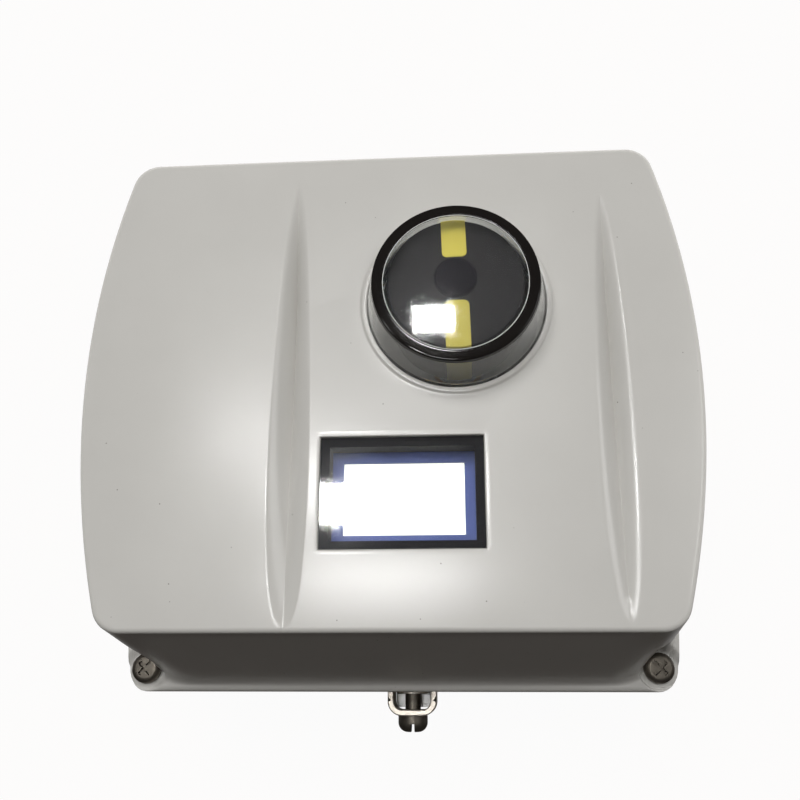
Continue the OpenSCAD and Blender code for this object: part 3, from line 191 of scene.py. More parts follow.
print("mid grey is", [round(c, 3) for c in colour("#808080")])

# %% [markdown]
# ## Satin paint on the cast cover
# The cover is an aluminium die casting under a pale grey stoving paint. From close by, the paint
# shows a faint orange peel, a slow clouding of the tone and a few dark specks of grit. The specks are
# the centres of a cell pattern, kept only where the distance to the centre is very small.

# %% Stoved paint
speck_cell_mm = 4.5
speck_core, speck_edge = 0.035, 0.055  # shares of a cell at which a speck is solid and is gone
clean_cells = 0.62  # cells whose random value is below this have no speck


def stoved_paint(name, dark, light, speck):
    """Clouded satin paint. A speck is drawn where the distance to a cell's centre is a small share
    of the cell, and the cell's own random value decides whether it has one."""
    material, tree, where, tint, shader = layers(
        name, dark, light, cloud_mm=28, rough=(0.205, 0.215), grain_mm=1.6, relief_mm=0.002, IOR=1.5)
    cells = add(tree, "ShaderNodeTexVoronoi", {"Vector": where, "Scale": 1000 / speck_cell_mm})
    spot = add(tree, "ShaderNodeMapRange", {
        "Value": cells.outputs["Distance"], "From Min": speck_core, "From Max": speck_edge,
        "To Min": 1.0, "To Max": 0.0})
    few = maths(tree, "GREATER_THAN", cells.outputs["Color"], clean_cells)
    both = maths(tree, "MULTIPLY", spot.outputs["Result"], few)
    tree.links.new(blend(tree, both, tint, colour(speck)), shader.inputs["Base Color"])
    return material


# Baked paint has a soft sheen, with broad highlights that blur at their edges.
cover_paint = stoved_paint("stoved_paint_pale_grey", "#bfbdb8", "#c9c7c2", "#8d8a84")
# The housing has the same paint, a shade greyer.
housing_paint = stoved_paint("stoved_paint_housing_grey", "#b7b5b0", "#c1bfba", "#85827c")
print("paints:", cover_paint.name, housing_paint.name)

# %% [markdown]
# ## Collecting a mesh ring by ring
# A cast shell is easiest to describe as a row of closed loops, each a little further down or in than
# the last. This helper takes whole arrays of points, remembers their numbers, and fills the strip
# between two loops with four-sided faces. At the end it drops unused points, merges doubles, and
# turns all faces outwards, which is safe because every shell made with it is closed.


# %% Shell helper
class Shell:
    """Points and four-sided faces, gathered as arrays."""

    def __init__(self):
        self.points, self.quads, self.count = [], [], 0

    def put(self, xyz):
        """Stores points and gives back their numbers in the same arrangement."""
        xyz = np.asarray(xyz, float)
        numbers = self.count + np.arange(xyz[..., 0].size).reshape(xyz.shape[:-1])
        self.points.append(xyz.reshape(-1, 3))
        self.count += numbers.size
        return numbers

    def bridge(self, a, b):
        """Faces between two closed loops: point k and k+1 of one with k+1 and k of the other."""
        self.quads.append(np.stack([a, np.roll(a, -1), np.roll(b, -1), b], axis=-1))

    def ring(self, last, xyz):
        """Adds a loop and joins it to the last one."""
        numbers = self.put(xyz)
        self.bridge(last, numbers)
        return numbers

    def sheet(self, numbers, keep=True):
        """Faces of a rectangular arrangement of points, where keep is true."""
        q = np.stack([numbers[:-1, :-1], numbers[:-1, 1:],
                      numbers[1:, 1:], numbers[1:, :-1]], axis=-1)
        self.quads.append(q[np.broadcast_to(keep, q.shape[:2])])

    def make(self, name, material, body, slot, *nodes):
        """The finished object, in metres, riding on its body in place of its CAD nodes."""
        points = np.concatenate(self.points) / 1000
        quads = np.concatenate([q.reshape(-1, 4) for q in self.quads])
        used, quads = np.unique(quads, return_inverse=True)
        mesh = bpy.data.meshes.new(name)
        mesh.from_pydata(points[used], [], quads.reshape(-1, 4))
        work = bmesh.new()
        work.from_mesh(mesh)
        bmesh.ops.remove_doubles(work, verts=work.verts, dist=1e-6)
        bmesh.ops.recalc_face_normals(work, faces=work.faces)
        work.to_mesh(mesh)
        work.free()
        mesh.shade_smooth()
        mesh.materials.append(material)
        piece = bpy.data.objects.new(name, mesh)
        bpy.context.collection.objects.link(piece)
        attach(piece, body)
        if nodes:
            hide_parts(*nodes)
        print(name, len(mesh.vertices), "points,", len(mesh.polygons), "faces")
        return piece


print("shell helper ready")

# %% [markdown]
# ## The grid under the cover's front
# The front is one crowned surface with a round hole for the dial and a square one for the display.
# A plain grid gives clean shading, so its lines are placed to run along the display opening and the
# middle of each groove. Places are measured from the case centre.

# %% Grid lines
pane_lo, pane_hi = box_mm("lcd_window")
cap_lo, cap_hi = box_mm("indicator_window")
window_x, window_y = ((cap_lo + cap_hi) / 2)[:2] - (case_x, case_y)
pane_gap, pane_round = 0.16, 0.45  # joint around the pane and rounding of the opening's edge
open_lo = pane_lo[:2] - (case_x, case_y) - pane_gap - pane_round
open_hi = pane_hi[:2] - (case_x, case_y) + pane_gap + pane_round
square_in, square_out = 26.0, 33.0  # half sides: bent to the dial's circle, and left square
grid_half_x, grid_half_y = 70.0, 62.5
fine_step, wide_step, fine_reach = 0.32, 1.25, 1.3  # the reach is in half widths of a groove
# Each groove's centre x, middle y, half length, half width, depth and rim crease
grooves = np.array([(-27.0, -3.8, 66.0, 5.4, 5.0, 0.33), (63.3, -6.2, 62.0, 5.2, 3.8, 0.0)])


def spread(keys, spans=()):
    """Grid lines through all keys, close together inside the spans and wider apart elsewhere."""
    keys = np.unique(np.concatenate([keys, *spans]))
    parts = []
    for a, b in zip(keys[:-1], keys[1:]):
        step = fine_step if any(lo <= a and b <= hi for lo, hi in spans) else wide_step
        parts.append(np.linspace(a, b, int(np.ceil((b - a) / step)) + 1)[:-1])
    return np.concatenate(parts + [keys[-1:]])


window_keys = np.array([-square_out, -square_in, square_in, square_out])
spans = [(max(x - fine_reach * half, -grid_half_x), min(x + fine_reach * half, grid_half_x))
         for x, half in grooves[:, [0, 3]]]
xs = spread(np.concatenate([[-grid_half_x, open_lo[0], open_hi[0], grid_half_x],
                            grooves[:, 0], window_x + window_keys]), spans)
ys = spread(np.concatenate([[-grid_half_y, open_lo[1], open_hi[1], grid_half_y],
                            window_y + window_keys]))
print("grid", len(xs), "by", len(ys), "lines; dial at", round(window_x, 2), round(window_y, 2))

# %% [markdown]
# ## The shape of the front
# The front is a shallow pillow, flat in its middle and rolling off towards its edges, and two long
# grooves run down it. In the photograph a groove is darkest along its middle, so its sides grow
# steeper inwards and meet in a sharp valley. A round-bottomed groove would show a bright line there.
# The right groove's shoulders roll softly into the panels beside it, and the left one has a crease at
# its lower rims.

# %% Front height and grooves
crown, front_half = 2.0, 71.2
side_half, side_draw = cover_mid_half - 0.5, 10.5  # half width, and how far the ends draw in from it
side_bow = side_draw / front_half ** 2
tip_power, narrowing, blunting, deepening = 0.4, 0.3, 0.4, 0.35


def front_height(x, y):
    """Pillow less the grooves. The pillow is the crown times 1 - u^4 times 1 - v^4, with u and v the
    shares of the way to the sides and ends. With q the share of the way to a groove's tips and w the
    share of the way to its rims, a groove is its depth times 1 - q^2 to a power, which is larger
    towards the upper tip so that the lower tip is blunter, times a mix of 1 - w, which leaves a
    crease at the rim, and (1 - w)^2, which rolls softly into the panel. It is narrower, deeper and
    softer towards its upper tip."""
    u, v = x / (side_half - side_bow * y ** 2), y / front_half
    z = edge_z + crown * (1 - u ** 4) * (1 - v ** 4)
    for centre, middle, reach, half, depth, crease in grooves:
        q = (y - middle) / reach
        lens = np.maximum(1 - q ** 2, 0)
        width = half * np.maximum(lens, 1e-3) ** tip_power * (1 - narrowing * q)
        fall = np.maximum(1 - np.abs(x - centre) / width, 0)
        crisp = crease * np.clip(1 - q, 0, 2)
        side = crisp * fall + (1 - crisp) * fall ** 2
        z = z - depth * lens ** (1 + blunting * q) * (1 + deepening * q) * side
    return z


print("middle of the front at", round(float(front_height(np.array(0.0), np.array(0.0))), 2), "mm")

# %% [markdown]
# ## Barrel outlines
# Seen from the front, the long sides of the case bow outwards and the ends are straight. The same
# kind of outline, with other sizes, serves for the front edge, the foot of the wall and the flange.
# Each outline is cut at the middle of its corners, and each of its four parts gets as many points as
# the grid has lines there, so that every loop joins the grid point by point.

# %% Outline loops
arc_points, side_points = 12, 161


def barrel(mid, end, half, corner):
    """Right part and top part of a barrel outline. The side is x = mid - bow * y squared, and an arc
    that is tangent to it and to the straight end rounds the corner. Where the arc starts and how the
    side leans there depend on each other, so both are found by repeated correction."""
    bow, lean = (mid - end) / half ** 2, 0.0
    for _ in range(12):
        touch = half - corner + corner * math.sin(lean)
        lean = math.atan(2 * bow * touch)
    centre = np.array([mid - bow * touch ** 2 - corner * math.cos(lean), half - corner])
    middle = (lean + math.pi / 2) / 2
    sweeps = (lean, middle), (middle, math.pi / 2)
    arcs = [centre + corner * np.stack([np.cos(a), np.sin(a)], axis=1)
            for a in (np.linspace(*sweep, arc_points) for sweep in sweeps)]
    y = np.linspace(-touch, touch, side_points)
    side = np.stack([mid - bow * y ** 2, y], axis=1)
    right = np.concatenate([arcs[0][::-1] * (1, -1), side, arcs[0]])
    top = np.concatenate([arcs[1], arcs[1][::-1] * (-1, 1)])
    return right, top


def along(line, shares):
    """Points of a line at the given shares of its length."""
    length = np.concatenate([[0], np.cumsum(np.hypot(*np.diff(line, axis=0).T))])
    return np.stack([np.interp(shares * length[-1], length, line[:, k]) for k in (0, 1)], axis=1)


def loop(mid, end, half, corner):
    """A closed outline from the lower right corner, anticlockwise, with the grid's own spacing."""
    right, top = barrel(mid, end, half, corner)
    up, across = (ys - ys[0]) / np.ptp(ys), (xs - xs[0]) / np.ptp(xs)
    return np.concatenate([along(right, up[:-1]), along(top, 1 - across[:0:-1]),
                           along(-right, 1 - up[:0:-1]), along(-top, across[:-1])])


def inset(outline, by):
    """The loop of an outline, moved inwards by the same amount all round."""
    corner = max(outline["corner"] - by, 0.5)
    return loop(outline["mid"] - by, outline["end"] - by, outline["half"] - by, corner)


flange_draw, foot_in_x, foot_in_y = 3.8, 0.4, 3.3  # ends drawn in; the wall's foot inside the flange
foot_mid = cover_mid_half - foot_in_x
flange = dict(mid=cover_mid_half, end=cover_mid_half - flange_draw, half=cover_half, corner=7.0)
foot = dict(mid=foot_mid, end=foot_mid - flange_draw, half=cover_half - foot_in_y, corner=24.0)
front = dict(mid=side_half, end=side_half - side_draw, half=front_half, corner=8.0)
print("one loop has", len(loop(**flange)), "points")

# %% [markdown]
# ## Screw pockets
# At each corner the wall gives way to a round pocket, so that a screwdriver reaches the cover screw.
# On the real casting this is a cylinder sunk into the corner. Here the wall's points that would lie
# inside that cylinder slide towards the case centre until they are on it.

# %% Pockets
head_r, pocket_r, pocket_depth, pocket_soft = 4.6, 6.5, 2.0, 0.2
screw_lo, screw_hi = box_mm("cover_screws")
screw_at = (screw_hi[:2] - screw_lo[:2]) / 2 - head_r
ledge_z = seat_z + 5.0


def pocketed(xy):
    """Plan points pushed out of the corner pockets. With t across and d along the diagonal from the
    screw to the case centre, d is raised to the root of r squared less t squared."""
    sign = np.sign(xy)
    offset = xy - sign * screw_at
    inward = -sign / math.sqrt(2)
    d = np.sum(offset * inward, axis=1)
    t2 = np.sum(offset ** 2, axis=1) - d ** 2
    push = np.sqrt(np.maximum(pocket_r ** 2 - t2, 0)) - d
    return xy + inward * np.where(t2 < pocket_r ** 2, np.maximum(push, 0), 0)[:, None]


def ledge_height(xy):
    """The ledge, lower by the pocket's depth inside a pocket, with a soft step at its rim."""
    away = np.hypot(*(np.abs(xy) - screw_at).T)
    return ledge_z - pocket_depth * np.clip((pocket_r + pocket_soft - away) / (2 * pocket_soft), 0, 1)


print("cover screws", np.round(screw_at, 2), "mm from the case centre")

# %% [markdown]
# ## Bending the grid around the dial
# A square of grid lines becomes a circle if each of its points is moved along its own ray. Between an
# inner square, which turns into the foot of the dial's bead, and an outer one, which stays, the two
# shapes are mixed. Cutting a round hole into the grid instead would leave slivers that shade badly.

# %% Bent grid
cap_r, bore_gap, bead_w, bead_fillet = 25.7, 0.16, 1.8, 0.6
bead_foot = cap_r + bead_w + bead_fillet
gx, gy = np.meshgrid(xs, ys)
far = np.maximum(np.abs(gx - window_x), np.abs(gy - window_y))
side_x, side_y = (gx - window_x) / np.maximum(far, 1e-9), (gy - window_y) / np.maximum(far, 1e-9)
share = np.clip((far - square_in) / (square_out - square_in), 0, 1)
round_x, round_y = side_x * np.sqrt(1 - side_y ** 2 / 2), side_y * np.sqrt(1 - side_x ** 2 / 2)
near = far < square_out
px = np.where(near, window_x + (1 - share) * bead_foot * round_x + share * square_out * side_x, gx)
py = np.where(near, window_y + (1 - share) * bead_foot * round_y + share * square_out * side_y, gy)
plan = np.stack([px, py], axis=-1)
print("grid bent within", square_out, "mm of the dial's middle")

# %% [markdown]
# ## Front and inside
# The bent grid is stored twice, once on the front's surface and once on the flat inner face. Both
# leave out the faces in the two openings.


# %% Two sheets
def lift(xy, z):
    """Plan points and a height, or heights, as points of space in the CAD frame."""
    return np.stack([xy[:, 0] + case_x, xy[:, 1] + case_y, np.broadcast_to(z, len(xy))], axis=1)


def grid_box(lo, hi):
    """Numbers of the grid lines along the left, right, lower and upper side of a rectangle."""
    return (*np.searchsorted(xs, np.array([lo[0], hi[0]]) - 1e-6),
            *np.searchsorted(ys, np.array([lo[1], hi[1]]) - 1e-6))


def frame_of(numbers, i0, i1, j0, j1):
    """The closed loop of grid numbers around a rectangle of lines, in the same order as an outline."""
    return np.concatenate([numbers[j0:j1, i1], numbers[j1, i1:i0:-1],
                           numbers[j1:j0:-1, i0], numbers[j0, i0:i1]])


ceiling_z = seat_z + 49.0
spot = np.array([window_x, window_y])
whole = (0, len(xs) - 1, 0, len(ys) - 1)
dial_box, pane_box = grid_box(spot - square_in, spot + square_in), grid_box(open_lo, open_hi)
keep = np.ones((len(ys) - 1, len(xs) - 1), bool)
for i0, i1, j0, j1 in (dial_box, pane_box):
    keep[j0:j1, i0:i1] = False
shell = Shell()
top = shell.put(lift(plan.reshape(-1, 2), front_height(px, py).ravel()).reshape(*px.shape, 3))
under = shell.put(lift(plan.reshape(-1, 2), ceiling_z).reshape(*px.shape, 3))
shell.sheet(top, keep)
shell.sheet(under, keep)
print(int(keep.sum()), "faces on each sheet")

# %% [markdown]
# ## Front edge
# From the grid's border the loops run out over the crown and then around a quarter circle, which is
# the rounded edge of the front.

# %% Crown and edge
edge_r = 1.6
rect, last = frame_of(plan, *whole), frame_of(top, *whole)
flat = inset(front, edge_r)
for t in np.linspace(0, 1, 10)[1:]:
    xy = rect + t * (flat - rect)
    last = shell.ring(last, lift(xy, front_height(*xy.T)))
rim_z = front_height(*flat.T)
for a in np.radians(np.linspace(0, 90, 9)[1:]):
    xy = inset(front, edge_r * (1 - math.sin(a)))
    last = shell.ring(last, lift(xy, rim_z - edge_r * (1 - math.cos(a))))
print("front edge between", np.round([rim_z.min(), rim_z.max()], 2), "mm")

# %% [markdown]
# ## Wall, ledge and flange
# The wall flares from the front's outline to that of its foot and gives way at the pockets. A soft
# fillet leads onto the ledge, which runs out to the flange's rounded rim and down to the seat.

# %% Wall and flange
foot_r, flange_r = 2.4, 1.6
wall_top, wall_foot = inset(front, 0), inset(foot, 0)
for t in np.linspace(0, 1, 15)[1:]:
    z = (rim_z - edge_r) * (1 - t) + (ledge_z + foot_r) * t
    last = shell.ring(last, lift(pocketed(wall_top + t * (wall_foot - wall_top)), z))
rim, start = inset(flange, flange_r), pocketed(wall_foot)
for t in np.linspace(0, 1, 21)[1:]:
    xy = start + t * (rim - start)
    near_wall = np.clip(1 - np.hypot(*(xy - start).T) / foot_r, 0, 1)
    last = shell.ring(last, lift(xy, ledge_height(xy) + foot_r * near_wall ** 2))
for a in np.radians((20, 40, 60, 80, 90)):
    xy = inset(flange, flange_r * (1 - math.sin(a)))
    last = shell.ring(last, lift(xy, ledge_height(xy) - flange_r * (1 - math.cos(a))))
last = shell.ring(last, lift(inset(flange, 0), seat_z))
print("wall foot", round(ledge_z, 1), "mm, seat", round(seat_z, 1), "mm")

# %% [markdown]
# ## Inner wall
# The shell is closed under the flange and up the inside. The inner corners are rounder than the outer
# ones, because the casting is thicker where the screws pass.

# %% Inside of the shell
wall_t, inner_foot_corner, inner_front_corner = 3.5, 32.0, 14.0
inner_foot = inset(dict(foot, corner=inner_foot_corner), wall_t)
inner_front = inset(dict(front, corner=inner_front_corner), wall_t)
last = shell.ring(last, lift(inner_foot, seat_z))
for t in np.linspace(0, 1, 7)[1:]:
    xy = inner_foot * (1 - t) + inner_front * t
    last = shell.ring(last, lift(xy, seat_z * (1 - t) + ceiling_z * t))
shell.bridge(last, frame_of(under, *whole))
print("inner face at", round(ceiling_z, 1), "mm")

# %% [markdown]
# ## Bead and openings
# A raised bead holds the foot of the clear cap, and its bore goes through to the inner face. The
# display opening only has a small round at its edge. With both closed, the cover becomes one piece.

# %% Bead, bore and display opening
bore_r, bead_z = cap_r + bore_gap, cover_hi[2]
# Radius in millimetres, and share of the way from the front's surface up to the bead's top
bead_profile = ((27.75, 0.08), (27.5, 0.35), (27.3, 0.75), (27.05, 0.95),
                (26.7, 1.0), (26.3, 1.0), (26.05, 0.95), (bore_r, 0.8))
circle = (frame_of(plan, *dial_box) - spot) / bead_foot
last = frame_of(top, *dial_box)
for r, rise in bead_profile:
    xy = spot + circle * r
    last = shell.ring(last, lift(xy, front_height(*xy.T) * (1 - rise) + bead_z * rise))
last = shell.ring(last, lift(spot + circle * bore_r, ceiling_z))
shell.bridge(last, frame_of(under, *dial_box))

square, last = frame_of(plan, *pane_box), frame_of(top, *pane_box)
middle, half_open = (open_lo + open_hi) / 2, (open_hi - open_lo) / 2
for a in np.radians((30, 60, 90)):
    xy = middle + (square - middle) * (1 - pane_round * math.sin(a) / half_open)
    last = shell.ring(last, lift(xy, front_height(*square.T) - pane_round * (1 - math.cos(a))))
last = shell.ring(last, lift(xy, ceiling_z))
shell.bridge(last, frame_of(under, *pane_box))
cover_shell = shell.make("cover_shell", cover_paint, "cover", "cover_paint", "cover")

# %% [markdown]
# ## A crisp valley
# Smooth shading would melt the two sides of a groove into one bright line at the bottom. The edges
# that lie along a groove's middle line are marked sharp, so each side keeps its own shade up to it.

# %% Sharp valley edges
on_line, above_ceiling = 0.01, 0.5
mesh = cover_shell.data
ends = np.empty(2 * len(mesh.edges), np.int32)
mesh.edges.foreach_get("vertices", ends)
at = np.empty(3 * len(mesh.vertices), np.float32)
mesh.vertices.foreach_get("co", at)
at = at.reshape(-1, 3) * 1000 - (case_x, case_y, 0)
outside = at[:, 2] > ceiling_z + above_ceiling
low = np.zeros(len(at), bool)
for centre, middle, reach in grooves[:, :3]:
    low |= (np.abs(at[:, 0] - centre) < on_line) & (np.abs(at[:, 1] - middle) < reach) & outside
valley = low[ends.reshape(-1, 2)].all(axis=1)
mesh.attributes.new("sharp_edge", "BOOLEAN", "EDGE").data.foreach_set("value", valley)
print(int(valley.sum()), "valley edges are sharp")

# %% [markdown]
# ## Clear plastic, black plastic and dial finishes
# The cap and the pane are cast acrylic, the ring and the display frame are black ABS, and the dial is
# nylon with two printed bars. Acrylic bends light a little less than glass does, and what makes it
# read as plastic is a gloss that is not quite even. A thin rough coat over it spreads a faint halo
# around each bright reflection, as fine wiping scratches do.

# %% Dial and window finishes
# Cast acrylic shows what is behind it, with sharp reflections in a faint haze.
acrylic = finish("cast_acrylic_clear", "#f4f6f4", "#fbfcfb", cloud_mm=20, rough=(0.015, 0.05),
                 grain_mm=3.0, relief_mm=0.001, IOR=1.49,
                 **{"Transmission Weight": 1.0, "Coat Weight": 0.045, "Coat Roughness": 0.12})
edge_highlight, black_abs, mask_abs, dial_grey, hub_black, bar_yellow = finish_rows("IOR", (
    # A pale, rough finish that is not clear stands on the cap's edge as a painted highlight, a thin
    # pale line.
    ("cut_acrylic_edge", "#d9dad6", "#e6e7e3", 2, (0.5, 0.7), 0.3, 0.002, 1.49),
    # ABS from a polished mould is deep black with crisp reflections.
    ("moulded_abs_gloss_black", "#0e0b0a", "#16120f", 9, (0.04, 0.07), 1.2, 0.0002, 1.4),
    # ABS from a grained mould stays black behind the pane, with no reflection of its own.
    ("moulded_abs_satin_black", "#09080c", "#0e0d12", 9, (0.6, 0.75), 0.8, 0.006, 1.35),
    # Filled nylon is a dull charcoal that hardly changes with the light.
    ("moulded_nylon_dark_grey", "#1b191b", "#212021", 6, (0.76, 0.8), 0.5, 0.001, 1.4),
    # The hub is the same nylon in black, and reads as a darker spot on the dial.
    ("moulded_nylon_hub_black", "#0b0910", "#100d14", 5, (0.76, 0.8), 0.4, 0.001, 1.25),
    # Screen ink is flat and opaque, a clear yellow without shine.
    ("screened_ink_yellow", "#b0a340", "#bcae50", 5, (0.6, 0.75), 0.35, 0.01, 1.4)))
print(len(bpy.data.materials), "materials so far")

# %% [markdown]
# ## Turned pieces
# The cap, its ring and the drum are round, so each is a profile of radius and height carried around
# an upright axis. Corners of a moulded piece are never sharp, so every corner of the profile is
# replaced by a short curve between two points on its legs. A Bevel modifier would do the same, but
# here each corner has its own rounding.

# %% Profile helpers
curve_points, turn_points = 6, 144


def softened(corners, closed=False):
    """Profile corners (radius, height, rounding) as a smooth line: each corner p becomes the curve
    (1-t)^2 a + 2t(1-t) p + t^2 b, where a and b lie on its legs at the rounding's distance. One more
    point on each leg keeps the flat beyond it flat when it is shaded smooth."""
    c = np.array(corners, float)
    p, r = c[:, :2], c[:, 2:]
    before, after = np.roll(p, 1, axis=0), np.roll(p, -1, axis=0)
    if not closed:
        before[0], after[-1] = p[0], p[-1]
    a = p + (before - p) * r / np.maximum(np.linalg.norm(before - p, axis=1, keepdims=True), 1e-9)
    b = p + (after - p) * r / np.maximum(np.linalg.norm(after - p, axis=1, keepdims=True), 1e-9)
    t = np.linspace(0, 1, curve_points)[None, :, None]
    curve = (1 - t) ** 2 * a[:, None] + 2 * t * (1 - t) * p[:, None] + t ** 2 * b[:, None]
    return np.concatenate([(2 * a - p)[:, None], curve, (2 * b - p)[:, None]], axis=1).reshape(-1, 2)


def turned(shell, profile, centre, closed=False):
    """Adds a profile turned about an upright axis: x = r cos a, y = r sin a."""
    a = np.linspace(0, 2 * np.pi, turn_points, endpoint=False)
    r, z = profile.T
    xyz = np.stack([centre[0] + np.outer(r, np.cos(a)), centre[1] + np.outer(r, np.sin(a)),
                    np.repeat(z[:, None], turn_points, axis=1)], axis=-1)
    numbers = shell.put(xyz)
    wrap = np.concatenate([numbers, numbers[:, :1]], axis=1)
    shell.sheet(np.concatenate([wrap, wrap[:1]]) if closed else wrap)


print("a turned piece has", turn_points, "points around")

# %% [markdown]
# ## The clear cap
# The cap is a thick tapered cup with a flange that the cover holds from inside. A step around its top
# takes the black ring. The faces at the top's edge get a pale, rough finish that is not clear: a
# painted highlight for the thin pale line that the edge catches. The cap casts no shadow: path tracing
# can't carry lamp light through clear plastic without noise, and the dial below would go black.

# %% Clear cap
cap_axis = ((cap_lo + cap_hi) / 2)[:2]
flange_out, cap_top = (cap_hi[0] - cap_lo[0]) / 2, cap_hi[2]
cap_t, cap_h, cap_flange_t, highlight_reach = 2.0, 15.0, 2.2, 0.24
ring_out, ring_in, ring_t = 23.1, 20.1, 1.4
slope = (cap_r - ring_out) / cap_h
dial_z, flange_z = cap_top - cap_h, cap_lo[2]
flange_top = flange_z + cap_flange_t

shell = Shell()
turned(shell, softened([
    (0, cap_top, 0), (ring_in, cap_top, 0.22), (ring_in, cap_top - ring_t, 0.1),
    (ring_out + slope * ring_t, cap_top - ring_t, 0.3), (cap_r, dial_z, 0.5), (cap_r, flange_top, 0.3),
    (flange_out, flange_top, 0.3), (flange_out, flange_z, 0.3), (cap_r - cap_t, flange_z, 0.3),
    (cap_r - cap_t, dial_z, 0.5), (cap_r - cap_t - slope * (cap_h - cap_t), cap_top - cap_t, 1.2),
    (0, cap_top - cap_t, 0)]), cap_axis)
window_cap = shell.make("window_cap", acrylic, "cover", "clear_plastic", "indicator_window")
window_cap.visible_shadow = False

# The faces at the top's edge take the painted highlight.
window_cap.data.materials.append(edge_highlight)
middles = np.empty(3 * len(window_cap.data.polygons), np.float32)
window_cap.data.polygons.foreach_get("center", middles)
middles = middles.reshape(-1, 3) * 1000 - (*cap_axis, 0)
from_edge = np.abs(np.hypot(*middles[:, :2].T) - ring_in)
highlighted = (from_edge < highlight_reach) & (middles[:, 2] > cap_top - highlight_reach)
window_cap.data.polygons.foreach_set("material_index", highlighted.astype(np.int32))
print(int(highlighted.sum()), "faces on the trimmed edge")

# %% [markdown]
# ## The black ring
# The ring sits in the cap's step, flush with its top, and continues the cap's taper on its outside.

# %% Ring
shell = Shell()
turned(shell, softened([
    (ring_in, cap_top - ring_t, 0.1), (ring_out + slope * ring_t, cap_top - ring_t, 0.2),
    (ring_out, cap_top, 0.5), (ring_in, cap_top, 0.25)], closed=True), cap_axis, closed=True)
shell.make("window_bezel", black_abs, "cover", "black_plastic", "window_ring")

# %% [markdown]
# ## The pointer drum
# The dial is the top of an upturned cup on the feedback shaft. Its face is a very flat cone that falls
# from the hub to the rim, so that it can also be read from the side. One profile makes the face, the
# skirt, the hollow inside and the stem.

# %% Pointer drum
drum_lo, drum_hi = box_mm("pointer_drum")
drum_r, drum_foot, drum_top = (drum_hi[0] - drum_lo[0]) / 2, drum_lo[2], drum_hi[2]
hub_r, drum_chamfer, drum_t, stem_r, stem_roof, cone_fall = 6.0, 0.3, 2.4, 3.5, 1.0, 2.75
drum_rim = drum_top - cone_fall
shell = Shell()
turned(shell, softened([
    (0, drum_top, 0), (hub_r, drum_top, 0.4), (drum_r - drum_chamfer, drum_rim, 0.15),
    (drum_r, drum_rim - drum_chamfer, 0.15), (drum_r, drum_foot, 0.3),
    (drum_r - drum_t, drum_foot, 0.3), (drum_r - drum_t, drum_rim - drum_t, 0.6),
    (stem_r + drum_t, drum_rim - drum_t, 0.6),
    (stem_r + drum_t, drum_foot, 0.3), (stem_r, drum_foot, 0.2), (stem_r, drum_top - stem_roof, 0.2),
    (0, drum_top - stem_roof, 0)]), (0, 0))
shell.make("dial_drum", dial_grey, "shaft", "pointer_grey", "pointer_drum")

# %% [markdown]
# ## The pointer bars
# Two yellow bars run from near the hub over the drum's rim and down its skirt. They are a thin skin
# that follows the drum, with rounded corners at the inner end. Painting them in the material would be
# less work, but a skin has a clean edge at any distance and shows in the exported mesh.

# %% Pointer bars
bar_turn = math.radians(1.6)  # how far the pointer is turned in the photograph
bar_half, bar_corner, bar_start, bar_proud, bar_sink, bar_shrink = 3.45, 1.5, 6.6, 0.2, 0.6, 0.97
across_points, along_points, bend_points, skirt_points = 41, 40, 5, 12
under_bend, over_foot = 0.4, 0.2  # where the straight skirt starts and stops


def pointer_bar(shell, side):
    """One bar over the drum. Across it runs x, along it y from its rounded inner end to the drum's
    rim, with the height of the drum's cone; past the rim it bends down the drum's side. The same
    skin, a little smaller and lower, closes it from below."""
    x = bar_half * np.sin(np.linspace(-np.pi / 2, np.pi / 2, across_points))
    past = np.maximum(np.abs(x) - bar_half + bar_corner, 0)
    inner = bar_start + bar_corner - np.sqrt(np.maximum(bar_corner ** 2 - past ** 2, 0))
    face_r, bend_r = drum_r - drum_chamfer, drum_chamfer + bar_proud
    v = np.linspace(0, 1, along_points)[:, None]
    y = inner * (1 - v) + np.sqrt(face_r ** 2 - x ** 2) * v
    z = drum_top + (drum_rim - drum_top) * (np.hypot(x, y) - hub_r) / (face_r - hub_r) + bar_proud
    a = np.radians(np.linspace(15, 90, bend_points))[:, None]
    bend_y = np.sqrt((face_r + bend_r * np.sin(a)) ** 2 - x ** 2)
    bend_z = np.broadcast_to(drum_rim + bar_proud - bend_r * (1 - np.cos(a)), bend_y.shape)
    down = np.linspace(drum_rim - drum_chamfer - under_bend, drum_foot + over_foot, skirt_points)
    skirt_z = np.broadcast_to(down[:, None], (skirt_points, across_points))
    skirt_y = np.broadcast_to(np.sqrt((drum_r + bar_proud) ** 2 - x ** 2), skirt_z.shape)
    y, z = np.concatenate([y, bend_y, skirt_y]), np.concatenate([z, bend_z, skirt_z])
    x = np.broadcast_to(x, y.shape)
    c, s = side * math.cos(bar_turn), side * math.sin(bar_turn)
    outer = np.stack([c * x - s * y, s * x + c * y, z], axis=-1)
    a, b = shell.put(outer), shell.put(outer * (bar_shrink, bar_shrink, 1) - (0, 0, bar_sink))
    shell.sheet(a)
    shell.sheet(b)
    border = (0, across_points - 1, 0, len(y) - 1)
    shell.bridge(frame_of(a, *border), frame_of(b, *border))


shell = Shell()
pointer_bar(shell, 1)
pointer_bar(shell, -1)
shell.make("dial_bars", bar_yellow, "shaft", "pointer_yellow", "pointer_stripes")

# %% [markdown]
# ## Metals
# Fasteners, bushes, gears and the valve keep their CAD shapes and only need a finish. A metal's colour
# is the colour of its reflections, so it looks right only with something to reflect, and its grain
# shows in how sharp those reflections are.

